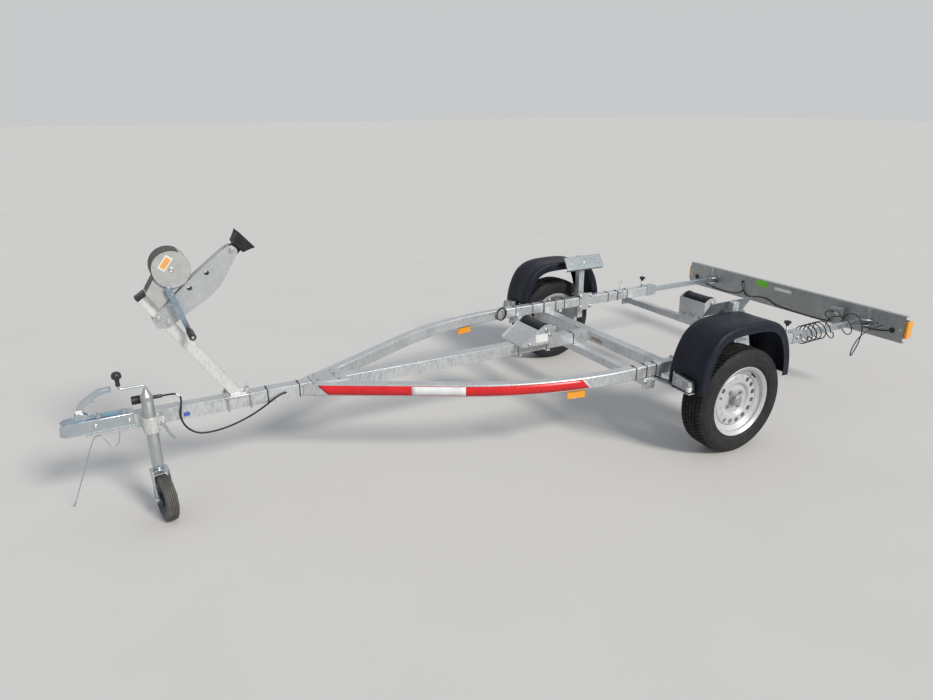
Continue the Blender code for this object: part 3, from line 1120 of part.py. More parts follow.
make_frame()
make_crossbar("crossbar_front", CROSSBAR_FRONT_X)
make_crossbar("crossbar_rear", CROSSBAR_REAR_X)
make_axle()
make_wheels()
make_coupling()
make_jockey_clamp()
make_jockey_mast()
make_jockey_leg()
make_jockey_fork()
make_winch_post()
make_bow_bracket()
make_snubber()
make_winch()
make_crank()
make_keel_rollers()
make_bunks()
make_board()
make_front_lamps()
make_cords()
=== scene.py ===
"""Looks of a small galvanised boat trailer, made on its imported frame.

Places are in metres: X forward from the wheel axle, Y to the left, Z up from the
floor. The frame gives the axle's own place. Rows inside mm() are in millimetres.
"""
import json
from math import asin, atan2, cos, degrees, hypot, pi, radians, sin, tan

import bmesh
import bpy
import numpy as np
from mathutils import Matrix, Vector


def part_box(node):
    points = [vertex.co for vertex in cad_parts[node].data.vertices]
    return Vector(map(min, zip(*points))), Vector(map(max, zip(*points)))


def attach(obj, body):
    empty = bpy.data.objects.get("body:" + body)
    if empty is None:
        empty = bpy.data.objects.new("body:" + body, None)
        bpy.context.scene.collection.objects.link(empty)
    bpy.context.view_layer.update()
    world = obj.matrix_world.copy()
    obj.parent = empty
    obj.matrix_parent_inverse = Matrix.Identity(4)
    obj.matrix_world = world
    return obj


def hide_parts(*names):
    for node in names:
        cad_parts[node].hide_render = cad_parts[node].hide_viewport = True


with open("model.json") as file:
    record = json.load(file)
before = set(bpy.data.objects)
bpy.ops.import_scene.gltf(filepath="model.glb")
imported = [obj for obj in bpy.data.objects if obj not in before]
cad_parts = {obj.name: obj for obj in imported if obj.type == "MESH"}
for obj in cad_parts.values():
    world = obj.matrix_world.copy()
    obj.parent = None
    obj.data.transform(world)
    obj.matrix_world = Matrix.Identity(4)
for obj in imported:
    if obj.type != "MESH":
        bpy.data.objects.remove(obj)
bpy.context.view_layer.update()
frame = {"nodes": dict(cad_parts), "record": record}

AXLE = Vector((sum(corner.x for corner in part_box("tyre_left")) / 2, 0, 0))
SIDES = (("left", 1), ("right", -1))
GAP = 0.0003

# Side rails: height, half width with a gap, and where and how they bend
RAIL_LOW, RAIL_HIGH = 0.395, 0.455
RAIL_Y, RAIL_FACE = 0.59, 0.0253
RAIL_BEND_X, RAIL_BEND, RAIL_TOE = 0.5, 1.6, radians(30)
# Outer faces of the plates above and under the rails and the drawbar
PLATE_TOP, PLATE_UNDER = 0.4603, 0.3897


def extent(node):
    """Lowest and highest corner of a CAD node, measured from the axle."""
    low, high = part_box(node)
    return low - AXLE, high - AXLE


def mm(*rows):
    """Rows of lengths in millimetres, given back in metres."""
    return [tuple(value / 1000 for value in row) for row in rows]


# Camera, floor and light

EYE = (2.6864, 3.0121, 1.6756)
YAW, PITCH, ROLL = 0.4913, 0.3415, -0.0035
LENS_MM = 27.02
SUN_FROM = (-0.25, 0.77, 0.59)
SUN_POWER, SUN_SPREAD, SUN_COLOUR = 2.8, 14, (1.0, 0.965, 0.91)
SKY_POWER = 0.78
SKY_STOPS = ((0.02, (0.82, 0.82, 0.82)), (0.65, (0.56, 0.62, 0.71)))
BACKDROP = (0.74, 0.75, 0.76)
FLOOR_HALF = 60.0


def make_camera():
    """The photo's view, from its heading, slope and roll."""
    ahead = Vector((-sin(YAW) * cos(PITCH), -cos(YAW) * cos(PITCH), -sin(PITCH)))
    right = ahead.cross(Vector((0, 0, 1))).normalized()
    up = right.cross(ahead)
    side = right * cos(ROLL) + up * sin(ROLL)
    top = up * cos(ROLL) - right * sin(ROLL)
    camera = bpy.data.objects.new("photo_view", bpy.data.cameras.new("photo_view"))
    camera.data.lens = LENS_MM
    turn = Matrix((side, top, -ahead)).transposed().to_4x4()
    camera.matrix_world = Matrix.Translation(Vector(EYE) + AXLE) @ turn
    bpy.context.scene.collection.objects.link(camera)
    bpy.context.scene.camera = camera
    bpy.context.scene.view_settings.view_transform = "Standard"


def make_light():
    """A soft sun, and a sky that lights the part but is seen as one pale grey."""
    sun = bpy.data.objects.new("key_light", bpy.data.lights.new("key_light", "SUN"))
    sun.data.energy = SUN_POWER
    sun.data.angle = radians(SUN_SPREAD)
    sun.data.color = SUN_COLOUR
    sun.rotation_mode = "QUATERNION"
    sun.rotation_quaternion = Vector(SUN_FROM).to_track_quat("Z", "Y")
    bpy.context.scene.collection.objects.link(sun)
    world = bpy.data.worlds.new("studio")
    world.use_nodes = True
    nodes, link = world.node_tree.nodes, world.node_tree.links.new
    split = nodes.new("ShaderNodeSeparateXYZ")
    link(nodes.new("ShaderNodeTexCoord").outputs["Generated"], split.inputs["Vector"])
    sky = nodes.new("ShaderNodeValToRGB")
    for stop, (position, colour) in zip(sky.color_ramp.elements, SKY_STOPS):
        stop.position = position
        stop.color = (*colour, 1)
    link(split.outputs["Z"], sky.inputs["Fac"])
    rays = nodes.new("ShaderNodeLightPath").outputs
    seen = rays["Is Camera Ray"]
    for kind in ("Is Glossy Ray", "Is Transmission Ray"):
        either = nodes.new("ShaderNodeMath")
        either.operation = "MAXIMUM"
        link(seen, either.inputs[0])
        link(rays[kind], either.inputs[1])
        seen = either.outputs[0]
    plain = nodes.new("ShaderNodeMix")
    plain.data_type = "RGBA"
    plain.inputs[7].default_value = (*BACKDROP, 1)
    link(seen, plain.inputs[0])
    link(sky.outputs["Color"], plain.inputs[6])
    link(plain.outputs[2], nodes["Background"].inputs["Color"])
    nodes["Background"].inputs["Strength"].default_value = SKY_POWER
    bpy.context.scene.world = world


def make_floor():
    floor = Finish("floor", (0.6, 0.585, 0.56), roughness=0.9)
    floor.tint((0.59, 0.572, 0.545), (0.63, 0.612, 0.585), floor.noise(1.5, 4))
    mesh = bpy.data.meshes.new("floor")
    corners = [(x, y, 0) for x, y in ((-1, -1), (1, -1), (1, 1), (-1, 1))]
    mesh.from_pydata([Vector(c) * FLOOR_HALF for c in corners], [], [(0, 1, 2, 3)])
    mesh.materials.append(floor.material)
    item = bpy.data.objects.new("floor", mesh)
    bpy.context.scene.collection.objects.link(item)


# Materials: colours are linear, scales are features per metre

class Finish:
    """A Principled material whose sockets take procedural detail."""

    made = {}

    def __init__(self, name, colour, metallic=0.0, roughness=0.5, **sockets):
        self.material = bpy.data.materials.new(name)
        self.material.use_nodes = True
        self.tree = self.material.node_tree
        self.shader = self.tree.nodes["Principled BSDF"]
        self.set(self.shader, base_color=(*colour, 1), metallic=metallic, roughness=roughness, **sockets)
        self.coords = self.tree.nodes.new("ShaderNodeTexCoord").outputs["Object"]
        Finish.made[name] = self

    @staticmethod
    def set(node, **values):
        """Values of a node's inputs, their names written with underscores."""
        for key, value in values.items():
            node.inputs[key.replace("_", " ").title()].default_value = value

    def node(self, kind, source=None, **values):
        made = self.tree.nodes.new(kind)
        self.set(made, **values)
        if source is not None:
            self.tree.links.new(source, made.inputs[0])
        return made

    def noise(self, scale, detail=3.0, stretch=(1, 1, 1)):
        """Soft variation about the middle of 0 to 1."""
        moved = self.node("ShaderNodeMapping", self.coords, scale=stretch)
        return self.node("ShaderNodeTexNoise", moved.outputs[0], scale=scale,
                         detail=detail).outputs["Fac"]

    def cells(self, scale, stretch=(1, 1, 1)):
        """One even value in each crystal-like cell."""
        moved = self.node("ShaderNodeMapping", self.coords, scale=stretch)
        cell = self.node("ShaderNodeTexVoronoi", moved.outputs[0], scale=scale)
        return self.node("ShaderNodeSeparateColor", cell.outputs["Color"]).outputs[0]

    def ramp(self, source, low, high, start=0.0, end=1.0):
        """The source's stretch from low to high, spread from start to end."""
        spread = {"from_min": low, "from_max": high, "to_min": start, "to_max": end}
        return self.node("ShaderNodeMapRange", source, **spread).outputs[0]

    def mix(self, factor, first, second):
        made = self.tree.nodes.new("ShaderNodeMix")
        made.data_type = "RGBA"
        self.tree.links.new(factor, made.inputs[0])
        for socket, value in ((made.inputs[6], first), (made.inputs[7], second)):
            if isinstance(value, tuple):
                socket.default_value = (*value, 1)
            else:
                self.tree.links.new(value, socket)
        return made.outputs[2]

    def tint(self, first, second, factor):
        """Colour the surface between two colours."""
        self.tree.links.new(self.mix(factor, first, second), self.shader.inputs["Base Color"])

    def gloss(self, source, low, high):
        """Roughness from the source, between two values."""
        self.tree.links.new(self.ramp(source, 0.3, 0.7, low, high), self.shader.inputs["Roughness"])

    def bump(self, source, depth, strength=1.0):
        made = self.node("ShaderNodeBump", distance=depth, strength=strength)
        self.tree.links.new(source, made.inputs["Height"])
        self.tree.links.new(made.outputs[0], self.shader.inputs["Normal"])


def galvanised(name, dark, light, metallic, streak):
    """Hot-dip zinc: streaked flecks down the sides, dull crystals and pale bloom."""
    zinc = Finish(name, light, metallic, 0.42)
    fleck = zinc.ramp(zinc.noise(150, 5, (1, 1, streak)), 0.38, 0.62)
    crystal = zinc.cells(95, (1, 1, 0.6))
    bloom = zinc.ramp(zinc.noise(9, 4), 0.35, 0.68)
    base = zinc.mix(fleck, dark, light)
    middle = tuple((a + b) / 2 for a, b in zip(dark, light))
    spangled = zinc.mix(zinc.ramp(crystal, 0.55, 1.0, 0.0, 0.45), base, middle)
    pale = tuple(min(1.0, c * 1.12) for c in light)
    zinc.tint(spangled, pale, zinc.ramp(bloom, 0.4, 1.0, 0.0, 0.45))
    zinc.gloss(zinc.noise(60, 3, (1, 1, streak)), 0.34, 0.52)
    zinc.bump(zinc.noise(210, 3), 0.00025, 0.5)


def plated(name, colour, tinted, roughness):
    """Bright zinc plating with a faint passivated tint and fine handling marks."""
    zinc = Finish(name, colour, 0.95, roughness)
    drift = zinc.ramp(zinc.noise(28, 3), 0.35, 0.65)
    zinc.tint(colour, tinted, drift)
    zinc.gloss(zinc.noise(26, 2), roughness - 0.03, roughness + 0.1)
    zinc.bump(zinc.noise(60, 2), 0.0001, 0.03)


def rubber(name, colour, dusty, roughness, grain):
    """Rubber or grained plastic with little shine, dusty in places."""
    skin = Finish(name, colour, 0.0, roughness)
    skin.shader.inputs["Specular IOR Level"].default_value = 0.26
    skin.tint(colour, dusty, skin.ramp(skin.noise(24, 5), 0.42, 0.72))
    skin.gloss(skin.noise(70, 3), roughness - 0.08, roughness + 0.08)
    skin.bump(skin.noise(grain, 3), 0.0003, 0.5)


def plastic(name, colour, pale, roughness, grain):
    skin = Finish(name, colour, 0.0, roughness)
    wear = skin.ramp(skin.noise(14, 4), 0.45, 0.75, 0.0, 0.7)
    skin.tint(colour, pale, wear)
    skin.gloss(skin.noise(40, 3), roughness - 0.05, roughness + 0.1)
    skin.bump(skin.noise(grain, 2), 0.00015, 0.45)


def lens(name, colour, deep, ribs):
    """Moulded lens: glossy skin with fine prisms under it."""
    skin = Finish(name, colour, 0.0, 0.12, coat_weight=0.6)
    skin.tint(deep, colour, skin.ramp(skin.cells(ribs), 0.0, 1.0, 0.25, 1.0))
    skin.bump(skin.cells(ribs), 0.0004, 0.35)


def paint(name, colour, second, roughness=0.35, metallic=0.0):
    skin = Finish(name, colour, metallic, roughness)
    skin.tint(colour, second, skin.ramp(skin.noise(20, 4), 0.4, 0.7))
    skin.gloss(skin.noise(60, 3), roughness - 0.06, roughness + 0.08)
    skin.bump(skin.noise(500, 2), 0.00005, 0.4)


def make_finishes():
    galvanised("galvanised", (0.47, 0.49, 0.505), (0.66, 0.68, 0.695), 0.7, 0.28)
    galvanised("galvanised_plate", (0.46, 0.48, 0.49), (0.66, 0.68, 0.69), 0.75, 0.8)
    galvanised("galvanised_pale", (0.58, 0.59, 0.58), (0.71, 0.715, 0.7), 0.4, 0.4)
    galvanised("board_sheet", (0.27, 0.28, 0.285), (0.38, 0.395, 0.4), 0.85, 0.9)
    galvanised("cast_zinc", (0.46, 0.46, 0.44), (0.66, 0.66, 0.63), 0.45, 1.0)
    plated("zinc", (0.58, 0.61, 0.62), (0.5, 0.58, 0.64), 0.24)
    plated("zinc_dull", (0.52, 0.54, 0.53), (0.44, 0.48, 0.5), 0.34)
    plated("bolt_zinc", (0.66, 0.67, 0.68), (0.55, 0.55, 0.5), 0.3)
    paint("rim_silver", (0.55, 0.56, 0.575), (0.49, 0.5, 0.51), 0.38, 0.3)
    paint("winch_cover", (0.47, 0.475, 0.46), (0.4, 0.405, 0.4), 0.42, 0.35)
    paint("vinyl_red", (0.66, 0.012, 0.016), (0.58, 0.01, 0.014), 0.28)
    paint("vinyl_white", (0.8, 0.8, 0.8), (0.72, 0.72, 0.73), 0.32)
    paint("vinyl_green", (0.16, 0.55, 0.03), (0.13, 0.47, 0.03), 0.4)
    paint("label_white", (0.74, 0.74, 0.72), (0.64, 0.64, 0.62), 0.45)
    paint("label_orange", (0.8, 0.38, 0.1), (0.72, 0.3, 0.07), 0.45)
    paint("label_brown", (0.4, 0.3, 0.22), (0.3, 0.25, 0.2), 0.5)
    paint("label_blue", (0.06, 0.42, 0.46), (0.04, 0.33, 0.4), 0.4)
    rubber("tyre_rubber", (0.017, 0.0175, 0.019), (0.026, 0.0265, 0.027), 0.66, 700)
    rubber("tread_rubber", (0.013, 0.013, 0.0135), (0.034, 0.031, 0.027), 0.78, 500)
    rubber("black_rubber", (0.014, 0.015, 0.016), (0.034, 0.034, 0.036), 0.55, 600)
    rubber("jockey_tyre", (0.085, 0.084, 0.078), (0.135, 0.13, 0.118), 0.72, 500)
    rubber("cable_black", (0.01, 0.01, 0.011), (0.026, 0.026, 0.027), 0.42, 900)
    plastic("black_plastic", (0.016, 0.017, 0.019), (0.032, 0.034, 0.037), 0.42, 900)
    # Mudguard: black plastic, and its navy tint is a painted reflection of blue sky spread over the whole
    # surface
    rubber("fender_plastic", (0.006, 0.008, 0.017), (0.011, 0.014, 0.025), 0.5, 1100)
    plastic("blue_plastic", (0.03, 0.09, 0.35), (0.05, 0.13, 0.42), 0.4, 900)
    plastic("strap_black", (0.02, 0.02, 0.021), (0.045, 0.043, 0.04), 0.8, 1500)
    rubber("roller_rubber", (0.01, 0.013, 0.02), (0.026, 0.03, 0.04), 0.42, 600)
    # board_edge: a lighter, bluer copy of the board's zinc; on the board's top it is a painted sky highlight
    galvanised("board_edge", (0.34, 0.36, 0.38), (0.48, 0.5, 0.52), 0.85, 0.9)
    galvanised("pad_zinc", (0.17, 0.2, 0.22), (0.27, 0.3, 0.32), 0.5, 0.8)
    plastic("plate_black", (0.02, 0.02, 0.021), (0.035, 0.035, 0.036), 0.5, 900)
    # zinc_blue: dark blue zinc; on the coupling's top this blue is a painted reflection of the sky
    plated("zinc_blue", (0.32, 0.42, 0.53), (0.46, 0.54, 0.6), 0.22)
    galvanised("galvanised_bracket", (0.44, 0.46, 0.47), (0.54, 0.56, 0.57), 0.65, 0.8)
    paint("winch_shadow", (0.05, 0.05, 0.05), (0.08, 0.08, 0.08), 0.6)
    paint("jockey_hub", (0.03, 0.05, 0.08), (0.05, 0.07, 0.1), 0.4)
    paint("hub_zinc", (0.36, 0.37, 0.38), (0.27, 0.28, 0.29), 0.42, 0.5)
    paint("lamp_chrome", (0.55, 0.56, 0.58), (0.34, 0.35, 0.37), 0.15, 0.9)
    plastic("marker_white", (0.72, 0.72, 0.7), (0.6, 0.6, 0.59), 0.3, 900)
    lens("lens_red", (0.52, 0.012, 0.012), (0.28, 0.004, 0.004), 260)
    lens("lens_amber", (0.88, 0.38, 0.015), (0.68, 0.22, 0.008), 260)
    lens("lens_clear", (0.34, 0.35, 0.37), (0.16, 0.17, 0.18), 240)
    rope = Finish("rope_steel", (0.52, 0.53, 0.54), 0.85, 0.35)
    twist = rope.noise(900, 2, (1, 1, 0.4))
    rope.tint((0.3, 0.31, 0.32), (0.62, 0.63, 0.64), rope.ramp(twist, 0.4, 0.6))
    rope.bump(twist, 0.0003, 0.8)


# Building blocks

class Piece:
    """Solids gathered into one mesh that rides on one body of the frame."""

    def __init__(self, name, finish, bevel=0.0006, replaces=(), smooth=32.0, body="frame"):
        self.name = name
        self.finish = finish
        self.bevel = bevel
        self.replaces = replaces
        self.smooth = smooth
        self.body = body
        self.shape = bmesh.new()

    def block(self, centre, size, turn=None):
        placed = Matrix.Translation(centre) @ (turn or Matrix.Identity(4)) @ Matrix.Diagonal((*size, 1))
        bmesh.ops.create_cube(self.shape, size=1.0, matrix=placed)
        return self

    def span(self, low, high):
        """A block between two corners."""
        return self.block([(a + b) / 2 for a, b in zip(low, high)],
                          [abs(b - a) for a, b in zip(low, high)])

    def rod(self, start, end, radius, sides=24, end_radius=None):
        start, end = Vector(start), Vector(end)
        turn = (end - start).to_track_quat("Z", "Y").to_matrix().to_4x4()
        top = radius if end_radius is None else end_radius
        bmesh.ops.create_cone(self.shape, cap_ends=True, segments=sides, radius1=radius, radius2=top,
                              depth=(end - start).length,
                              matrix=Matrix.Translation((start + end) / 2) @ turn)
        return self

    def nut(self, at, along, across, height):
        """A hexagon standing on a face."""
        along = Vector(along).normalized()
        self.rod(at, Vector(at) + along * height, across / 2 / cos(pi / 6), 6)

    def bolt(self, at, along, across=0.013, stud=0.0):
        """A washer and a hexagon head, with a stud's end past it if it has one."""
        at, along = Vector(at), Vector(along).normalized()
        self.rod(at, at + along * 0.0016, across * 0.78, 20)
        self.nut(at + along * 0.0016, along, across, across * 0.5)
        if stud:
            self.rod(at + along * across * 0.5, at + along * (across * 0.6 + stud), across * 0.27, 12)

    def rivet(self, at, along, radius=0.005):
        at, along = Vector(at), Vector(along).normalized()
        self.rod(at, at + along * radius * 0.45, radius, 16, radius * 0.55)

    def skin(self, rings, closed=False, wrap=True):
        """Quads between rings of corners, which close on themselves where wrap is true."""
        pairs = list(zip(rings, rings[1:])) + ([(rings[-1], rings[0])] if closed else [])
        for one, two in pairs:
            for i in range(len(one) if wrap else len(one) - 1):
                j = (i + 1) % len(one)
                self.shape.faces.new((one[i], one[j], two[j], two[i]))

    def corners(self, points):
        return [self.shape.verts.new(point) for point in points]

    def loft(self, rings, closed=False):
        """A solid through rings of points: a closed loop of rings, or a face at each end."""
        rings = [self.corners(ring) for ring in rings]
        self.skin(rings, closed)
        if not closed:
            self.shape.faces.new(rings[0])
            self.shape.faces.new(rings[-1])
        return self

    def tube(self, points, radius, sides=10, closed=False):
        """A round bar along points."""
        points = [Vector(p) for p in points]
        last = len(points) - 1
        normal, rings = None, []
        for i, point in enumerate(points):
            before = points[i - 1] if closed or i else point
            after = points[(i + 1) % len(points)] if closed or i < last else point
            along = (after - before).normalized()
            normal = along.orthogonal() if normal is None else normal
            normal = (normal - along * normal.dot(along)).normalized()
            side = along.cross(normal)
            rings.append([point + radius * (cos(a) * normal + sin(a) * side) for a in turns(sides)])
        return self.loft(rings, closed)

    def plate(self, outline, low, high, axis="Y"):
        """An outline with thickness, in X and Z for axis Y, X and Y for Z, Y and Z for X."""
        order = {"X": (2, 0, 1), "Y": (0, 2, 1), "Z": (0, 1, 2)}[axis]
        return self.loft([[[(a, b, level)[i] for i in order] for a, b in outline]
                          for level in (low, high)])

    def turned(self, profile, centre, along, sides=48, closed=False):
        """A profile of (radius, distance along) about an axis."""
        along = Vector(along).normalized()
        across = along.orthogonal().normalized()
        other = along.cross(across)
        rings = []
        for radius, height in profile:
            middle = Vector(centre) + along * height
            reach = max(radius, 0.00002)
            rings.append([middle + reach * (cos(a) * across + sin(a) * other) for a in turns(sides)])
        return self.loft(rings, closed)

    def grid(self, rows):
        """An open sheet through rows of points."""
        self.skin([self.corners(row) for row in rows], wrap=False)
        return self

    def done(self, thickness=0.0, offset=-1.0):
        """The finished object, as a sheet of that thickness if there is one."""
        mesh = bpy.data.meshes.new(self.name)
        bmesh.ops.recalc_face_normals(self.shape, faces=self.shape.faces)
        self.shape.to_mesh(mesh)
        self.shape.free()
        item = bpy.data.objects.new(self.name, mesh)
        item.location = AXLE
        if thickness:
            wall = item.modifiers.new("wall", "SOLIDIFY")
            wall.thickness = thickness
            wall.offset = offset
            wall.use_quality_normals = True
        return settle(item, self.body, self.finish, self.bevel, self.replaces, self.smooth)


def settle(item, body, finish, bevel, replaces, smooth=32.0):
    """Link a mesh with its finish, edges and body."""
    bpy.context.scene.collection.objects.link(item)
    item.data.materials.clear()
    item.data.materials.append(Finish.made[finish].material)
    if bevel:
        edges = item.modifiers.new("edges", "BEVEL")
        edges.width = bevel
        edges.segments = 2
        edges.limit_method = "ANGLE"
        edges.angle_limit = radians(40)
    item.data.shade_smooth()
    item.data.set_sharp_from_angle(angle=radians(smooth))
    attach(item, body)
    if replaces:
        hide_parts(*replaces)
    return item


NODE_BODY = {node: body for body, nodes in frame["record"]["behaviour"]["bodies"].items()
             for node in nodes}


def dress(node, finish, bevel):
    """A copy of a CAD node with its edges rounded, which stands for the node."""
    shape = bmesh.new()
    shape.from_mesh(frame["nodes"][node].data)
    bmesh.ops.remove_doubles(shape, verts=shape.verts, dist=0.00001)
    bmesh.ops.dissolve_limit(shape, angle_limit=radians(0.5), verts=shape.verts, edges=shape.edges)
    mesh = bpy.data.meshes.new(node + "_finished")
    shape.to_mesh(mesh)
    shape.free()
    item = bpy.data.objects.new(node + "_finished", mesh)
    settle(item, NODE_BODY[node], finish, bevel, (node,))


def mirror(half):
    """The second half of a profile from its first, the other way along."""
    return [(radius, -along) for radius, along in reversed(half)]


def turns(count):
    """Angles of a whole turn in even steps."""
    return [2 * pi * k / count for k in range(count)]


def arc(centre, radius, start, end, steps):
    """Points on an arc, its angles in degrees."""
    angles = np.linspace(radians(start), radians(end), steps + 1)
    return [(centre[0] + radius * cos(a), centre[1] + radius * sin(a)) for a in angles]


def smooth_route(points, spacing):
    """Points at an even spacing on a smooth curve through the route's own points."""
    ends = [Vector(p) for p in points]
    ends = [2 * ends[0] - ends[1]] + ends + [2 * ends[-1] - ends[-2]]
    fine = []
    for a, b, c, d in zip(ends, ends[1:], ends[2:], ends[3:]):
        for t in np.arange(24) / 24:
            fine.append(0.5 * (2 * b + (c - a) * t + (2 * a - 5 * b + 4 * c - d) * t ** 2
                               + (3 * b - a - 3 * c + d) * t ** 3))
    fine.append(ends[-2])
    lengths = np.cumsum([0] + [(b - a).length for a, b in zip(fine, fine[1:])])
    wanted = np.linspace(0, lengths[-1], max(2, round(lengths[-1] / spacing)) + 1)
    columns = [np.interp(wanted, lengths, [p[i] for p in fine]) for i in range(3)]
    return [tuple(row) for row in zip(*columns)]


def headings(path):
    """Points of a path in X and Z, with the direction square to it at each."""
    found = []
    for i, (x, _, z) in enumerate(path):
        ax, _, az = path[max(i - 1, 0)]
        bx, _, bz = path[min(i + 1, len(path) - 1)]
        size = hypot(bx - ax, bz - az)
        found.append((x, z, (bz - az) / size, -(bx - ax) / size))
    return found


def make_cord(name, body, points, diameter, finish, replaces):
    """A round cord along points, as a curve of one open spline."""
    curve = bpy.data.curves.new(name, "CURVE")
    curve.dimensions = "3D"
    curve.bevel_depth = diameter / 2
    curve.bevel_resolution = 3
    curve.use_fill_caps = True
    line = curve.splines.new("POLY")
    line.points.add(len(points) - 1)
    for point, at in zip(line.points, points):
        point.co = (*at, 1)
    curve.materials.append(Finish.made[finish].material)
    item = bpy.data.objects.new(name, curve)
    item.location = AXLE
    bpy.context.scene.collection.objects.link(item)
    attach(item, body)
    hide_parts(*replaces)
    return item


# Cords: each route is a short list of points, as in the CAD

LEAD_DIAMETER = 0.008
ROPE_DIAMETER = 0.004
WIRING_DIAMETER = 0.006
WIRING_TURN = 0.0505
WIRING_TAIL = mm((-966, 640, 418), (-992, 629, 385), (-1015, 600, 366), (-1030, 560, 380),
                 (-1040, 538, 425), (-1050, 552, 470), (-1065, 590, 487), (-1085, 628, 478),
                 (-1110, 648, 440), (-1130, 645, 400), (-1150, 620, 372), (-1168, 585, 366),
                 (-1183, 550, 385), (-1193, 535, 425), (-1200, 548, 462), (-1206, 585, 482),
                 (-1212, 620, 470), (-1218, 645, 430), (-1215, 655, 380), (-1200, 655, 320),
                 (-1176, 652, 270), (-1156, 651, 247), (-1144, 654, 262), (-1150, 660, 310),
                 (-1176, 668, 360), (-1215, 678, 392), (-1260, 688, 410), (-1295, 695, 419),
                 (-1312, 695, 420), (-1329.7, 695, 420))


def make_cords():
    plug_low, plug_high = extent("plug_front")
    plug_y, plug_z = (plug_low.y + plug_high.y) / 2, (plug_low.z + plug_high.z) / 2
    lead = [(2.022, 0.0345, 0.43), (2.05, 0.036, 0.426), (2.09, 0.04, 0.408), (2.135, 0.042, 0.382),
            (2.2, 0.044, 0.352), (2.28, 0.046, 0.328), (2.36, 0.047, 0.318), (2.42, 0.046, 0.326),
            (2.462, 0.044, 0.362), (2.478, 0.042, 0.41), (2.472, 0.04, 0.456), (2.466, 0.028, 0.492),
            (2.48, 0.008, 0.506), (2.51, plug_y, plug_z), (plug_low.x - GAP, plug_y, plug_z)]
    route = smooth_route(lead, LEAD_DIAMETER * 2.6)
    cord = make_cord("towing_lead", "frame", route, LEAD_DIAMETER, "cable_black", ("lead_front",))
    plug = make_plug(plug_low, plug_high, plug_y, plug_z)

    rope = mm((2718, 20, 394.7), (2720, 20, 372), (2730, 20, 338), (2750, 19, 326), (2768, 16, 350),
              (2788, 10, 382), (2812, 0, 376), (2838, -15, 320), (2866, -35, 240), (2895, -65, 160),
              (2922, -100, 80), (2940, -135, 24), (2946, -165, 4), (2940, -200, 3))
    route = smooth_route(rope, ROPE_DIAMETER * 3)
    cable = make_cord("breakaway_cable", "frame", route, ROPE_DIAMETER, "rope_steel", ("safety_cable",))
    make_wiring()


def make_wiring():
    """Loom of the light board: turns wound round the left arm, wide loops, and a tail to the lamp."""
    low, high = extent("wiring_coil")
    middle = (low + high) / 2
    winds, steps = 5, 14
    length = high.x - low.x - WIRING_DIAMETER
    points = []
    for share in np.linspace(0, 1, winds * steps + 1):
        angle = 2 * pi * winds * (1 - share)
        radius = WIRING_TURN + 0.002 * sin(9 * share * pi)
        points.append((high.x - WIRING_DIAMETER / 2 - length * share, middle.y + radius * cos(angle),
                       middle.z + radius * sin(angle)))
    route = points[:-3] + smooth_route(points[-3:] + WIRING_TAIL, WIRING_DIAMETER * 2.6)
    loom = make_cord("board_wiring", "light_board", route, WIRING_DIAMETER, "cable_black",
                     ("wiring_coil", "wiring_rear"))
    start = Vector(route[0])
    way = (Vector(route[1]) - start).normalized()
    sleeve = Piece("wiring_sleeve", "black_plastic", 0.0004, body="light_board")
    sleeve.rod(start - way * 0.006, start + way * 0.008, 0.0048, 14)
    sleeve.done()


def make_plug(low, high, y, z):
    """Towing plug: ribbed body, flange, keyed nose and a tapered boot over the lead."""
    plug = Piece("towing_plug_body", "black_plastic", replaces=("plug_front",))
    length, radius = high.x - low.x, (high.z - low.z) / 2
    profile = [(0.0055, 0.0), (0.0075, 0.0), (0.0082, length * 0.3), (0.0105, length * 0.33)]
    for k in range(5):
        start = length * (0.36 + 0.045 * k)
        profile += [(0.0145, start), (0.0145, start + 0.0025), (0.0132, start + 0.003),
                    (0.0132, start + 0.005)]
    profile += [(radius * 0.8, length * 0.6), (radius * 0.98, length * 0.63),
                (radius * 0.98, length * 0.69), (radius * 0.86, length * 0.7),
                (radius * 0.86, length * 0.99), (radius * 0.78, length), (radius * 0.7, length),
                (radius * 0.7, length * 0.9), (0, length * 0.9)]
    plug.turned(profile, (low.x, y, z), (1, 0, 0), 32)
    plug.block((low.x + length * 0.84, y, z + radius * 0.86), (length * 0.24, 0.006, 0.004))
    for k in range(7):
        turn = 2 * pi * k / 7
        pin = Vector((0, cos(turn), sin(turn))) * radius * 0.45
        start = Vector((low.x + length * 0.89, y, z)) + pin
        plug.rod(start, start + Vector((length * 0.08, 0, 0)), 0.0017, 8)
    return plug.done()


# Wheels and mudguards

TYRE_MIDDLE_Y = sum(corner.y for corner in extent("tyre_left")) / 2
TYRE_RADIUS = extent("tyre_left")[1].z / 2
TREAD_HALF = 0.0585
PITCHES = 72
# Where one pitch of the tread has its corners, and which of them a sipe cuts
PITCH_STEPS = (0.0, 0.25, 0.56, 0.6, 0.82, 0.86)
SIPE_CUTS = (0, 0, 0, 1, 1, 0)
# Ribs of the tread from its middle outward: start, end, depth of the slanted sipes
RIBS = mm((-6.5, 6.5, 0), (11.5, 27.5, 4.5), (34.5, 58.5, 6))
GROOVE_DEPTH = 0.0068
TREAD_CROWN = 0.0032
SIPE_SLANT = 2.2
# Outside of the wall from bead to shoulder: radius, distance from the tyre's middle
SIDEWALL = mm((166, 48), (170, 50.5), (177, 56), (183.5, 65.5), (185, 67.2), (187, 66.8), (189, 69),
              (193.5, 72.2), (199, 74.4), (200, 75.4), (203, 75.6), (204, 75), (210, 76.4), (216, 77),
              (222, 77.1), (222.6, 77.5), (225.6, 77.5), (226.2, 76.9), (233, 76.4), (240, 75.2),
              (246, 73.6), (246.6, 74.4), (251, 73.2), (252, 71.6), (258, 68.8), (263, 65.2),
              (266.5, 61.8))


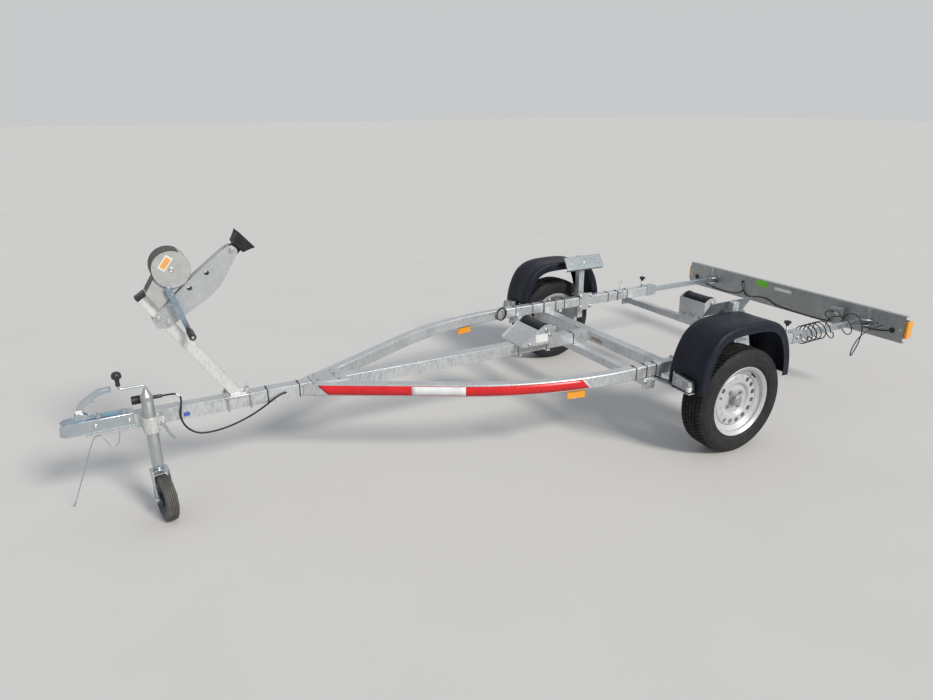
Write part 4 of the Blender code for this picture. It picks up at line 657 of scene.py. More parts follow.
def tread_columns():
    """Across the tread: distance from its middle, depth everywhere, and depth of the sipes there."""
    columns = []
    for start, end, sipe in RIBS:
        middle = (start + end) / 2
        columns += [(start, 0, sipe), (middle, 0, sipe), (end, 0, sipe)]
        if end < TREAD_HALF:
            columns += [(end + 0.0007, GROOVE_DEPTH, 0), (end + 0.0025, GROOVE_DEPTH, 0),
                        (end + 0.0043, GROOVE_DEPTH, 0)]
    rest = [c for c in columns if c[0] > 0]
    return sorted([(-y, deep, sipe) for y, deep, sipe in rest] + [c for c in columns if c[0] == 0] + rest)


def make_tyre(side, sign):
    """Radial tyre: bead, ringed sidewalls, and ribs cut by slanted sipes."""
    tread = Piece("tyre_%s_tread" % side, "tyre_rubber", 0, ("tyre_" + side,), 34, body="wheel_" + side)
    steps = [2 * pi * (k + part) / PITCHES for k in range(PITCHES) for part in PITCH_STEPS]
    cuts = SIPE_CUTS * PITCHES
    rows = [(-out, radius, 0) for radius, out in SIDEWALL]
    for y, deep, sipe in tread_columns():
        rows.append((y, TYRE_RADIUS - TREAD_CROWN * (y / TREAD_HALF) ** 2 - deep, sipe))
    rows += [(out, radius, 0) for radius, out in reversed(SIDEWALL)]
    ribs = range(len(SIDEWALL), len(rows) - len(SIDEWALL))
    rings = []
    for i, (y, radius, sipe) in enumerate(rows):
        slant = SIPE_SLANT * y if i in ribs else 0
        ring = []
        for step, cut in zip(steps, cuts):
            reach, turn = radius - sipe * cut, step + slant
            ring.append((reach * cos(turn), sign * TYRE_MIDDLE_Y + y, TYRE_RADIUS + reach * sin(turn)))
        rings.append(ring)
    mesh = tread.loft(rings, closed=True).done().data
    mesh.materials.append(Finish.made["tread_rubber"].material)
    worn = [int(i in ribs and i + 1 in ribs) for i in range(len(rows)) for _ in steps]
    mesh.polygons.foreach_set("material_index", worn)


VENTS = 16
VENT_RADIUS, VENT_SUNK_RADIUS, VENT_SUNK = 0.0136, 0.0124, 0.0016
VENT_LEVEL = 0.0355
BOLT_CIRCLE = 0.05
# Closed section of the barrel, as radius and distance outward from the wheel's middle
BARREL = mm((179, 67.5), (180.8, 67.1), (181.5, 65.8), (181, 64.5), (179, 63.6), (170, 58), (165, 55.5),
            (165, 43.5), (140, 31.5), (140, -5), (165, -32.5), (165, -55.5), (181.5, -63.5),
            (181.5, -67.5), (177.5, -67.5), (161, -57.5), (161, -33.5), (136, -7), (136, 30), (136.8, 33),
            (140, 35.2), (156, 42.5), (160, 45), (161.2, 48), (161.2, 56.5), (162.5, 59), (174, 64),
            (176.5, 66.2), (177.6, 67.3))
# Front of the disc inside the vents, then outside them, as radius and distance outward
DISC_INSIDE = mm((25.5, 21.5), (30, 21.5), (39.5, 21.5), (42, 23.2), (60, 23.2), (63, 21.8), (70, 21.4),
                 (76, 21.8), (80, 23.8), (84, 30), (86.8, 33.8), (90.5, 35.5), (100.5, 35.5))
DISC_OUTSIDE = mm((130, 35.5), (131.8, 34.5), (133.5, 31.8), (134.8, 28.5), (135.8, 24))


def make_rim(side, sign):
    """Pressed steel wheel: rolled lip, dished disc with sixteen vents, four bolts and the hub."""
    middle = Vector((0, sign * TYRE_MIDDLE_Y, TYRE_RADIUS))
    out = Vector((0, sign, 0))
    body = "wheel_" + side
    barrel = Piece("rim_%s_barrel" % side, "rim_silver", 0, ("rim_" + side,), 50, body=body)
    barrel.turned(BARREL, middle, out, 144, closed=True)
    barrel.done()
    disc = Piece("rim_%s_disc" % side, "rim_silver", 0.0006, smooth=50, body=body)
    per_side = 6
    around = VENTS * per_side

    def outward(turn):
        return Vector((cos(turn), 0, sin(turn)))

    def ring(radius, level):
        return disc.corners(middle + out * level + outward(turn) * radius for turn in turns(around))

    inner_rings = [ring(*row) for row in DISC_INSIDE]
    outer_rings = [ring(*row) for row in DISC_OUTSIDE]
    disc.skin(inner_rings)
    disc.skin(outer_rings)
    low, high = DISC_INSIDE[-1][0], DISC_OUTSIDE[0][0]
    level = middle + out * VENT_LEVEL
    shares = [m / per_side for m in range(1, per_side)]
    webs = [disc.corners(level + outward(turn) * (low + (high - low) * share) for share in shares)
            for turn in turns(VENTS)]
    for k in range(VENTS):
        edge = [(k * per_side + m) % around for m in range(per_side + 1)]
        inner_arc = [inner_rings[-1][i] for i in edge]
        border = ([outer_rings[0][i] for i in edge] + webs[(k + 1) % VENTS][::-1] + inner_arc[::-1]
                  + webs[k])
        turn = 2 * pi * (k + 0.5) / VENTS
        along, across = outward(turn), outward(turn + pi / 2)
        centre = level + along * (low + high) / 2
        ways = []
        for vert in border:
            away = vert.co - centre
            angle = atan2(away.dot(across), away.dot(along))
            ways.append(along * cos(angle) + across * sin(angle))
        hole = disc.corners(centre + way * VENT_RADIUS for way in ways)
        disc.skin([border, hole, disc.corners(centre + way * VENT_SUNK_RADIUS - out * VENT_SUNK
                                              for way in ways)])
    disc.done(0.0036)
    fittings = Piece("rim_%s_bolts" % side, "hub_zinc", 0.0005, body=body)
    for turn in turns(4):
        seat = middle + out * 0.0222 + outward(turn + pi / 4 + 0.12) * BOLT_CIRCLE
        fittings.rod(seat, seat + out * 0.0045, 0.0125, 28, 0.0105)
        fittings.nut(seat + out * 0.004, out, 0.0165, 0.0095)
        fittings.rod(seat + out * 0.012, seat + out * 0.0142, 0.0072, 20, 0.0058)
    fittings.turned(mm((25.5, 19.5), (32, 22), (31.8, 26), (29.2, 26.8), (28.4, 44), (26.8, 50),
                       (22.5, 53.2), (12, 54.3), (0, 54.5)), middle, out, 48)
    fittings.done()
    stem = Piece("rim_%s_valve" % side, "black_rubber", 0.0003, body=body)
    foot = middle + outward(2.2) * 0.15 + out * 0.0385
    lean = (out - outward(2.2) * 0.35).normalized()
    stem.rod(foot, foot + lean * 0.014, 0.0055, 16, 0.004)
    stem.rod(foot + lean * 0.012, foot + lean * 0.026, 0.0042, 16)
    stem.done()


# Arch of the mudguard as seen from the side, from its front foot to the middle of its top
ARCH = mm((305, 370), (303.5, 415), (298.5, 460), (287, 510), (271, 554), (251, 592), (226, 624),
          (193, 649), (160, 664), (120, 674), (60, 679), (0, 680))
# Section of the mudguard: Y, and how far under the top it lies
FENDER_SECTION = mm((662.5, 49), (660.5, 46), (660, 14), (661.2, 6), (665, 1.6), (671, 0), (708, 0),
                    (714, 1), (800, 1), (806, 0), (856, 0), (864, 0.8), (870, 3), (874.5, 7.5),
                    (876.8, 15), (877, 24), (875.5, 42), (877, 45), (876.5, 49))
FENDER_WALL = 0.0034


def make_fender(side, sign):
    """Moulded mudguard: a swept section with rounded edges, raised bands and turned-down lips."""
    half = smooth_route([(x, 0, z) for x, z in ARCH], 0.014)
    path = headings(half + [(-x, y, z) for x, y, z in reversed(half[:-1])])
    for end in (0, -1):
        x, z, _, _ = path[end]
        path[end] = (x, z, 1.0 if x > 0 else -1.0, 0.0)
    inner = []
    for i, (y, deep) in enumerate(FENDER_SECTION):
        before, after = FENDER_SECTION[max(i - 1, 0)], FENDER_SECTION[min(i + 1, len(FENDER_SECTION) - 1)]
        run, fall = after[0] - before[0], after[1] - before[1]
        size = hypot(run, fall)
        inner.append((y - fall / size * FENDER_WALL, deep + run / size * FENDER_WALL))
    loop = FENDER_SECTION + inner[::-1]
    guard = Piece("fender_%s_shell" % side, "fender_plastic", 0.0005, ("fender_" + side,), 45)
    guard.loft([[(x - nx * deep, sign * y, z - nz * deep) for y, deep in loop] for x, z, nx, nz in path])
    guard.done()
    fixings = Piece("fender_%s_fixings" % side, "bolt_zinc", 0.0004)
    for z in (0.4, 0.43):
        fixings.bolt((0.3046, sign * 0.7, z), (1, 0, 0), 0.01)
        fixings.bolt((-0.3046, sign * 0.7, z), (-1, 0, 0), 0.01)
    fixings.done()


def make_front_lamp(side, sign):
    """Position lamp: black base, sloping clear lens with its reflector, and a white marker end."""
    low, high = extent("front_lamp_" + side)
    front, rear = high.x, low.x
    inner, outer = sorted((abs(low.y), abs(high.y)))
    lens_piece = Piece("front_lamp_%s_lens" % side, "lens_clear", 0.0025, ("front_lamp_" + side,))
    face = ((inner + 0.001, low.z + 0.01), (outer - 0.004, low.z + 0.007), (outer - 0.001, low.z + 0.022),
            (outer - 0.012, high.z - 0.014), (inner + 0.003, high.z - 0.001))
    lens_piece.plate([(sign * y, z) for y, z in face], rear + 0.012, front - 0.004, "X")
    lens_piece.done()
    inside = Piece("front_lamp_%s_reflector" % side, "lamp_chrome", 0.0006)
    bulb = Vector((front - 0.0044, sign * (inner + 0.048), low.z + 0.036))
    inside.turned(mm((21.2, 0), (21.2, 2.8), (18.6, 3.2), (17.6, 1.4), (12, 1), (7, 1), (5.2, 3.2),
                     (0, 3.6)), bulb, (1, 0, 0), 36)
    inside.done()
    base = Piece("front_lamp_%s_base" % side, "black_plastic", 0.0015)
    back = ((inner, low.z), (outer, low.z), (outer, low.z + 0.024), (outer - 0.01, high.z - 0.01),
            (inner, high.z))
    base.plate([(sign * y, z) for y, z in back], rear, rear + 0.0125, "X")
    base.span((rear, low.y, low.z), (front - 0.002, high.y, low.z + 0.0085))
    base.done()
    end = Piece("front_lamp_%s_marker" % side, "marker_white", 0.0015)
    edge_low, edge_high = sorted((sign * (outer - 0.017), sign * outer))
    end.span((front - 0.018, edge_low, low.z + 0.008), (front, edge_high, low.z + 0.03))
    end.done()


def make_wheels():
    for side, sign in SIDES:
        make_tyre(side, sign)
        make_rim(side, sign)
        make_fender(side, sign)
        make_front_lamp(side, sign)


# Coupling and jockey wheel

JOCKEY_X, JOCKEY_Y = 2.598, 0.085
JOCKEY_SWIVEL = radians(11)
JOCKEY_RADIUS, JOCKEY_TRAIL = 0.1, 0.05


def make_coupling():
    """Pressed head: folded lower edge, domed top, cross bolts, label and the lever's cheeks."""
    low, high = extent("coupling_head")
    top, rear, half = high.z, low.x, high.y - 0.001
    shoulder_x, nose_x, nose_radius = 2.804, 2.894, 0.036

    def outline(start, inset, radius):
        nose = arc((nose_x, 0), radius, -90, 90, 24)
        return ([(start, inset - half), (shoulder_x, inset - half)] + nose
                + [(shoulder_x, half - inset), (start, half - inset)])

    seams = Piece("coupling_fold", "zinc", 0.0006)
    seams.tube([(x, y, low.z + 0.0028) for x, y in outline(rear + 0.001, 0, nose_radius)], 0.0028)
    seams.done()
    # Painted reflection: the dome's dark blue stands for blue sky mirrored in the coupling's top, while its
    # sides stay plain zinc
    dome = Piece("coupling_dome", "zinc_blue", 0.0008)
    rings = []
    for share, rise in ((0.0, 0.0), (0.5, 0.0028), (0.85, 0.0046), (1.0, 0.005)):
        inset = 0.004 + 0.01 * share
        edge = outline(rear + 0.012 + inset, inset, nose_radius - inset - 0.001)
        rings.append(dome.corners((x, y, top - 0.0006 + rise) for x, y in edge))
    dome.skin(rings)
    dome.shape.faces.new(rings[-1])
    dome.done()
    label = Piece("coupling_label", "label_blue", 0.0002)
    label.span((2.722, 0.002, top + 0.004), (2.762, 0.016, top + 0.0048))
    label.done()
    fixings = Piece("coupling_bolts", "bolt_zinc", 0.0004)
    for x in (2.675, 2.8):
        for sign in (1, -1):
            fixings.bolt((x, sign * 0.035, 0.437), (0, sign, 0), 0.015, 0.004)
    for x, y in mm((2690, 14), (2690, -14), (2783, 20), (2783, -20)):
        fixings.bolt((x, y, top + 0.0035), (0, 0, 1), 0.01)
    for sign in (1, -1):
        fixings.rivet((2.846, sign * 0.0155, 0.486), (0, sign, 0), 0.0065)
    fixings.done()
    cheek = Piece("coupling_cheeks", "zinc", 0.0008)
    for sign in (1, -1):
        inner, outer = sorted((sign * 0.0154, sign * 0.0184))
        cheek.plate([(2.806, top), (2.872, top), (2.866, 0.49), (2.852, 0.497), (2.836, 0.494),
                     (2.818, 0.478)], inner, outer)
    cheek.done()
    marker = Piece("coupling_marker", "label_white", 0.0003)
    marker.plate(mm((2861.2, 489), (2860.6, 508), (2859.2, 508), (2859.8, 489)), -0.013, 0.013)
    marker.plate(mm((2861.2, 492), (2860.6, 510), (2838, 510), (2838, 492)), 0.015, 0.0158)
    marker.done()


def make_lever():
    """Hand lever: a pressed channel with rolled edges, its catch and its pivot."""
    spine = headings(smooth_route(mm((2860, 0, 466.8), (2859, 0, 500), (2847, 0, 530.5), (2812, 0, 556),
                                     (2776, 0, 577), (2750, 0, 582), (2722, 0, 583.5)), 0.006))
    rings = []
    for i, (x, z, nx, nz) in enumerate(spine):
        share = i / (len(spine) - 1)
        deep = 0.028 * (1 - share) + 0.019 * share
        width = 0.015 if share < 0.75 else 0.015 - 0.002 * (share - 0.75) / 0.25
        half = [(width - 0.003, 0.0), (width, 0.003), (width, deep), (width - 0.0025, deep),
                (width - 0.0025, 0.0045), (width - 0.005, 0.0027)]
        section = [(-y, d) for y, d in half[2::-1]] + half + [(-y, d) for y, d in half[:2:-1]]
        rings.append([(x - nx * d, y, z - nz * d) for y, d in section])
    Piece("coupling_lever_channel", "zinc", 0.0006, ("coupling_lever",), 40).loft(rings).done()
    lug = Piece("coupling_lever_catch", "zinc_dull", 0.0004)
    lug.rod((2.8, -0.013, 0.549), (2.8, 0.013, 0.549), 0.0035, 16)
    lug.plate(mm((2792, 552), (2806, 545), (2798, 530), (2790, 530)), -0.004, 0.004)
    lug.rod((2.838, -0.0175, 0.482), (2.838, 0.0175, 0.482), 0.004, 16)
    lug.done()


def make_jockey():
    """Jockey wheel: clamp with its handle, banded mast, crank with a mushroom knob, fork and ribbed tyre."""
    x, y, middle_z = JOCKEY_X, JOCKEY_Y, 0.425
    clamp = Piece("jockey_clamp_body", "cast_zinc", 0.0016, ("jockey_clamp",))
    low, high = middle_z - 0.035, middle_z + 0.035
    bore, outer, slit = 0.0243, 0.0323, 8
    ring = arc((x, y), outer, 180 + slit, 540 - slit, 44) + arc((x, y), bore, 540 - slit, 180 + slit, 44)
    clamp.plate(ring, low, high, "Z")
    clamp.span((x - 0.035, 0.0303, low + 0.004), (x + 0.035, y - bore - 0.0035, high - 0.004))
    for sign in (1, -1):
        inner, out = sorted((y + sign * 0.0035, y + sign * 0.0135))
        clamp.span((x - outer - 0.022, inner, low + 0.012), (x - outer + 0.0035, out, high - 0.012))
    clamp.span((x - outer - 0.002, y - 0.012, low + 0.018), (x - outer + 0.002, y + 0.012, low + 0.024))
    clamp.done()
    handle = Piece("jockey_clamp_handle", "zinc", 0.0004)
    eye = Vector((x - outer - 0.012, y, middle_z))
    handle.rod(eye - Vector((0, 0.019, 0)), eye + Vector((0, 0.022, 0)), 0.0055, 20)
    handle.rod(eye + Vector((0, 0.01, 0)), eye + Vector((0, 0.021, 0)), 0.0095, 20)
    handle.nut(eye - Vector((0, 0.0135, 0)), (0, -1, 0), 0.016, 0.008)
    grip = smooth_route([eye + Vector((0, 0.016, 0)), (x - outer - 0.022, y + 0.016, 0.4),
                         (2.53, y + 0.01, 0.365), (2.514, y + 0.002, 0.341)], 0.008)
    handle.tube(grip, 0.0058, 14)
    handle.done()
    fixings = Piece("jockey_mount_bolts", "bolt_zinc", 0.0004)
    for dx, dz in mm((-26, -22), (-26, 22), (26, -22), (26, 22)):
        fixings.bolt((x + dx, 0.057, middle_z + dz), (0, 1, 0), 0.011)
    fixings.done()
    mast = Piece("jockey_mast_tube", "zinc_dull", 0.0003, ("jockey_tube",), smooth=50, body="jockey_mast")
    mast.turned(mm((4, 585), (8, 584.8), (9.2, 579), (13, 568), (20.5, 556), (23.2, 551.5), (24, 547),
                   (24, 533), (23.6, 532.2), (23.6, 530.2), (24, 529.4), (24, 246), (24.4, 244),
                   (24.4, 238), (23.8, 236), (21, 236), (21, 538), (4, 538)), (x, y, 0), (0, 0, 1), 56,
                closed=True)
    mast.done()
    crank = Piece("jockey_crank_rod", "zinc", 0.0003, ("jockey_crank",), body="jockey_mast")
    knob_x = x + 0.095
    route = smooth_route([(x, y, 0.5853), (x, y, 0.592), (x + 0.009, y, 0.5968), (x + 0.035, y, 0.597),
                          (knob_x - 0.014, y, 0.597), (knob_x - 0.003, y, 0.6), (knob_x, y, 0.612),
                          (knob_x, y, 0.64)], 0.0035)
    crank.tube(route, 0.0048, 16)
    crank.done()
    knob = Piece("jockey_crank_knob", "black_plastic", 0.0004, smooth=50, body="jockey_mast")
    knob.turned(mm((5.2, 16), (8.5, 15), (9.2, 20), (8.2, 30), (8.6, 40), (11.5, 45.5), (17.2, 49),
                   (19, 53), (18.8, 61.5), (16.5, 69), (11, 73.5), (5, 74.8), (0, 75)), (knob_x, y, 0.597),
                (0, 0, 1), 40)
    knob.done()
    trail = Vector((-sin(JOCKEY_SWIVEL), cos(JOCKEY_SWIVEL), 0))
    side = Vector((cos(JOCKEY_SWIVEL), sin(JOCKEY_SWIVEL), 0))
    hub = Vector((x, y, JOCKEY_RADIUS)) + trail * JOCKEY_TRAIL
    tyre = Piece("jockey_wheel_tyre", "jockey_tyre", 0, ("jockey_wheel",), smooth=40, body="jockey_wheel")
    ribs = mm((66, 17), (68, 21.5), (73, 24), (81, 25), (88, 24.8), (93, 23.2), (96.2, 20.5),
              (98.5, 18.5))
    for k in range(5):
        start = 0.0175 - 0.0076 * k
        ribs += [(JOCKEY_RADIUS, start), (JOCKEY_RADIUS, start - 0.0046), (0.0952, start - 0.005),
                 (0.0952, start - 0.0072)]
    tyre.turned(ribs[:-2] + mirror(ribs[:8]), hub, side, 96, closed=True)
    tyre.done()
    rim = Piece("jockey_wheel_hub", "jockey_hub", 0.0005, smooth=45, body="jockey_wheel")
    half = mm((6.3, 25), (15, 25), (18.5, 23.5), (19, 12), (26, 9.5), (48, 8.5), (56, 11), (60, 18),
              (66.5, 19.5), (66.8, 16.5))
    rim.turned(half + mirror(half), hub, side, 64, closed=True)
    for spoke in turns(6):
        out = Vector((0, 0, 1)) * sin(spoke) + trail * cos(spoke)
        twist = Matrix((side, out, side.cross(out))).transposed().to_4x4()
        rim.block(hub + out * 0.038, (0.03, 0.04, 0.0045), twist)
    rim.done()
    nuts = Piece("jockey_fork_nuts", "bolt_zinc", 0.0004, body="jockey_fork")
    for sign in (1, -1):
        nuts.bolt(hub + side * sign * 0.0352, side * sign, 0.016)
    nuts.done()


# Winch stand: the winch's axles, and the post's top end with its directions up and back

WINCH_X, WINCH_Z = 2.433, 1.051
CRANK_X, CRANK_Z, CRANK_LENGTH, CRANK_ANGLE = 2.455, 0.975, 0.19, radians(17)
POST_TOP = Vector((2.56, 0, 0.95))
POST_UP, POST_BACK = Vector((0.5546, 0, 0.8321)), Vector((-0.8321, 0, 0.5546))
BRACKET_OUTLINE = mm((2366, 996), (2223, 1104), (2195, 1120), (2172, 1112), (2164, 1090), (2200, 1030),
                     (2245, 960), (2300, 910), (2383, 862), (2420, 835), (2467, 806), (2513, 806),
                     (2530, 846), (2483, 895), (2440, 930))
BRACKET_HOLES = mm((2298, 1015, 10.5), (2371, 959, 10.5))


def make_winch():
    """Winch: rim of the gear cover, a black band of painted shade at the cover's front and top edge, bolts,
    blank labels, and drum with its strap.
    """
    low, high = extent("winch_frame")
    outer = high.y
    centre = (WINCH_X, outer, WINCH_Z)
    rim = Piece("winch_cover_rim", "winch_cover", 0.0004)
    rim.turned(mm((70, 0), (72.2, 0), (73.5, 0.8), (73.5, 3), (70.5, 3)),
               (WINCH_X, outer - 0.0022, WINCH_Z), (0, 1, 0), 96, closed=True)
    rim.done()
    # Painted shade: a thin black band across the winch's width, round only the front and top of the cover's
    # edge, stands for the shade there
    guard = Piece("winch_painted_shade_band", "winch_shadow", 0.0004)
    shape = arc((WINCH_X, WINCH_Z), 0.0762, -38, 118, 60) + arc((WINCH_X, WINCH_Z), 0.0752, 118, -38, 60)
    guard.plate(shape, low.y - 0.0004, outer - 0.005)
    guard.done()
    fixings = Piece("winch_bolts", "bolt_zinc", 0.0004)
    fixings.turned(mm((3, 0), (9.8, 0), (10, 3), (7.8, 4.2), (7, 3), (3, 3)), centre, (0, 1, 0), 32)
    fixings.rod(centre, (WINCH_X, outer + 0.0035, WINCH_Z), 0.0048, 20)
    for dx, dz in mm((-56, -34), (48, -47), (60, 18)):
        fixings.rivet((WINCH_X + dx, outer, WINCH_Z + dz), (0, 1, 0), 0.0045)
    fixings.bolt((WINCH_X, -0.052, WINCH_Z), (0, -1, 0), 0.015)
    fixings.bolt((CRANK_X, -0.0525, CRANK_Z), (0, -1, 0), 0.015)
    for down in (0.018, 0.068):
        for y in (-0.03, 0.03):
            foot = POST_TOP + Vector((0, y, 0)) - POST_UP * down + POST_BACK * 0.0268
            fixings.bolt(foot, POST_BACK, 0.012)
    fixings.done()
    label = Piece("winch_label", "label_orange", 0)
    border = Piece("winch_label_border", "label_white", 0)
    slope = radians(128)
    along = Vector((cos(slope), sin(slope)))
    spot, across = Vector((2.452, 1.078)), Vector((-along.y, along.x))
    for piece, long_half, wide_half, lift in ((border, 0.031, 0.015, 0.0002),
                                              (label, 0.024, 0.0105, 0.0004)):
        outline = [spot + along * a * long_half + across * b * wide_half
                   for a, b in ((-1, -1), (1, -1), (1, 1), (-1, 1))]
        piece.plate(outline, outer, outer + lift)
        piece.done()
    drum = Piece("winch_drum_reel", "zinc_dull", 0.0005, ("winch_drum",), smooth=45, body="winch_drum")
    half = mm((0, 51.7), (8, 51.7), (8, 42), (55, 42), (55, 39), (20, 39), (18, 37))
    drum.turned(half + mirror(half), (WINCH_X, 0, WINCH_Z), (0, 1, 0), 72)
    drum.done()
    strap = Piece("winch_strap", "strap_black", 0, body="winch_drum")
    rows = []
    for wound in np.linspace(0, 5, 241):
        reach, turn = 0.0182 + 0.003 * wound, 2 * pi * wound
        rows.append([(WINCH_X + reach * cos(turn), y, WINCH_Z + reach * sin(turn))
                     for y in np.linspace(-0.0245, 0.0245, 5)])
    strap.grid(rows)
    strap.done(0.0016)
    make_crank()


def make_crank():
    """Winch crank: a flat bar with a raised middle, its shaft and a ribbed grip."""
    way = Vector((-sin(CRANK_ANGLE), -cos(CRANK_ANGLE)))
    side = Vector((-way.y, way.x))
    hub = Vector((CRANK_X, CRANK_Z))
    end = hub + way * CRANK_LENGTH
    bar_y = 0.074
    crank = Piece("winch_crank_bar", "zinc_blue", 0.0009, ("winch_crank",), body="winch_crank")
    heading = degrees(atan2(way.y, way.x))
    outline = (arc(hub, 0.013, heading + 90, heading + 270, 16)
               + arc(end, 0.01, heading - 90, heading + 90, 16))
    crank.plate(outline, bar_y - 0.004, bar_y + 0.003)
    raised = mm((22, -6.5), (172, -4.8), (172, 4.8), (22, 6.5))
    crank.plate([hub + way * a + side * b for a, b in raised], bar_y + 0.002, bar_y + 0.0045)
    face = (CRANK_X, bar_y + 0.003, CRANK_Z)
    crank.rod((CRANK_X, -0.052, CRANK_Z), face, 0.0068, 20)
    crank.bolt(face, (0, 1, 0), 0.015)
    crank.rod((end.x, bar_y, end.y), (end.x, bar_y + 0.098, end.y), 0.0045, 16)
    crank.done()
    grip = Piece("winch_crank_grip", "black_plastic", 0.0003, smooth=45, body="winch_crank")
    profile = mm((5, 6.5), (12, 6.5), (13.8, 8.5), (14, 12))
    for k in range(9):
        start = 0.015 + 0.0088 * k
        profile += [(0.014, start), (0.014, start + 0.0058), (0.013, start + 0.0066),
                    (0.013, start + 0.008)]
    profile += mm((13.8, 95), (12.8, 98.5), (7, 99), (5, 99))
    grip.turned(profile, (end.x, bar_y, end.y), (0, 1, 0), 40, closed=True)
    grip.done()
    tip = Piece("winch_crank_tip", "bolt_zinc", 0.0003, body="winch_crank")
    tip.rod((end.x, bar_y + 0.096, end.y), (end.x, bar_y + 0.1, end.y), 0.0058, 20)
    tip.done()


def make_stand():
    """Winch post's cap, foot fixings and weld, and the bow bracket with its rubber."""
    cap = Piece("winch_post_cap", "black_plastic", 0.0012)
    turn = Matrix((POST_BACK, Vector((0, 1, 0)), POST_UP)).transposed().to_4x4()
    cap.block(POST_TOP + POST_UP * 0.0012, (0.045, 0.045, 0.005), turn)
    cap.block(POST_TOP - POST_UP * 0.008, (0.0454, 0.0454, 0.016), turn)
    cap.done()
    foot = Piece("winch_post_fixings", "bolt_zinc", 0.0004)
    half = mm((36.5, 462), (36.5, 392), (33, 390.5))
    for x in (2.182, 2.278):
        for sign in (1, -1):
            foot.bolt((x, sign * 0.0365, PLATE_TOP), (0, 0, 1), 0.013, 0.01)
        foot.tube([(x, y, z) for y, z in half] + [(x, -y, z) for y, z in reversed(half)], 0.004, 12)
    foot.done()
    weld = Piece("winch_post_weld", "galvanised_plate", 0)
    square = mm((2198, -22.5), (2262, -22.5), (2262, 22.5), (2198, 22.5), (2198, -22.5))
    bead = []
    for k in range(97):
        edge = min(k // 24, 3)
        (ax, ay), (bx, by), part = square[edge], square[edge + 1], k / 24 - edge
        bead.append((ax + (bx - ax) * part, ay + (by - ay) * part, 0.4612 + 0.0004 * sin(k * 1.9)))
    weld.tube(bead, 0.0032, 8)
    weld.done()
    bracket = Piece("bow_bracket_plates", "galvanised_bracket", 0.0008, ("bow_bracket",))
    outline = smooth_corners(BRACKET_OUTLINE, 0.01)
    for sign in (1, -1):
        plate_with_holes(bracket, outline, BRACKET_HOLES, *sorted((sign * 0.0228, sign * 0.0268)))
    (fx, fz), (rx, rz) = BRACKET_OUTLINE[:2]
    along = Vector((rx - fx, 0, rz - fz))
    normal = Vector((along.z, 0, -along.x)).normalized()
    bridge = Matrix((along.normalized(), Vector((0, 1, 0)), normal)).transposed().to_4x4()
    middle = Vector(((fx + rx) / 2, 0, (fz + rz) / 2)) - normal * 0.0022
    bracket.block(middle, (along.length, 0.05, 0.004), bridge)
    bracket.done()
    fixings = Piece("bow_bracket_bolts", "bolt_zinc", 0.0004)
    for x, z in mm((2452, 905), (2505, 848), (2420, 878), (2470, 828)):
        fixings.bolt((x, 0.0268, z), (0, 1, 0), 0.014, 0.004)
        fixings.bolt((x, -0.0268, z), (0, -1, 0), 0.014)
    fixings.bolt((2.189, 0.0268, 1.1), (0, 1, 0), 0.016, 0.003)
    fixings.bolt((2.189, -0.0268, 1.1), (0, -1, 0), 0.016)
    fixings.done()
    make_bow_rubber()


def make_bow_rubber():
    """Rubber block of the bow stop: a stem that widens to a face with a groove down its middle."""
    rubber_piece = Piece("bow_rubber_block", "black_rubber", 0.0025, ("bow_rubber",), smooth=40)
    slope = radians(139)
    tip = Vector((2.185, 0, 1.09))
    out, up = Vector((cos(slope), 0, sin(slope))), Vector((-sin(slope), 0, cos(slope)))
    groove_half = 0.022
    rings = []
    for reach, half, width, groove in mm((-35, 19.5, 22.2, 0), (26, 19.5, 22.2, 0), (28, 28.5, 38.5, 0),
                                         (45, 34.5, 39.5, 0), (62, 41.5, 40, 0), (72, 47, 40, 0),
                                         (77, 47.5, 39.8, 10)):
        across = (-width, -groove_half, 0.0, groove_half, width)
        edge = [(-half, y) for y in across] + [(half, y) for y in reversed(across)]
        sunk = [groove * max(0.0, 1 - abs(y) / groove_half) for _, y in edge]
        rings.append(rubber_piece.corners(tip + out * (reach - s) + up * b + Vector((0, y, 0))
                                          for s, (b, y) in zip(sunk, edge)))
    rubber_piece.skin(rings)
    rubber_piece.shape.faces.new(rings[0])
    face = rings[-1]
    for i in range(4):
        rubber_piece.shape.faces.new((face[i], face[i + 1], face[8 - i], face[9 - i]))
    rubber_piece.done()


def smooth_corners(outline, reach):
    """An outline whose corners are turned in three steps."""
    count = len(outline)
    points = []
    for i, corner in enumerate(outline):
        before, after = Vector(outline[i - 1]), Vector(outline[(i + 1) % count])
        here = Vector(corner)
        back = min(reach, (before - here).length / 2.5)
        ahead = min(reach, (after - here).length / 2.5)
        start = here + (before - here).normalized() * back
        stop = here + (after - here).normalized() * ahead
        for k in range(4):
            t = k / 3
            point = start * (1 - t) ** 2 + here * 2 * t * (1 - t) + stop * t ** 2
            points.append((point.x, point.y))
    return points


def plate_with_holes(piece, outline, holes, low, high):
    """A flat plate in X and Z with round holes through it."""
    flat = bmesh.new()
    loops = [outline] + [arc((x, z), radius, 0, 345, 23) for x, z, radius in holes]
    edges = []
    for loop in loops:
        verts = [flat.verts.new((x, low, z)) for x, z in loop]
        edges += [flat.edges.new(pair) for pair in zip(verts, verts[1:] + verts[:1])]
    bmesh.ops.triangle_fill(flat, use_beauty=True, edges=edges)
    flat.verts.index_update()
    near, far = [piece.corners((v.co.x, level, v.co.z) for v in flat.verts) for level in (low, high)]
    for face in flat.faces:
        for side in (near, far):
            piece.shape.faces.new([side[v.index] for v in face.verts])
    for edge in flat.edges:
        if len(edge.link_faces) == 1:
            one, two = (v.index for v in edge.verts)
            piece.shape.faces.new((near[one], near[two], far[two], far[one]))
    flat.free()


# Keel rollers and hull supports

# Name of each roller, with X and Z of its pin
ROLLERS = (("front", 0.65, 0.53), ("rear", -0.56, 0.515))
BUNK_X = -0.12
BUNK_STRAPS = (0.4605, 0.3895)


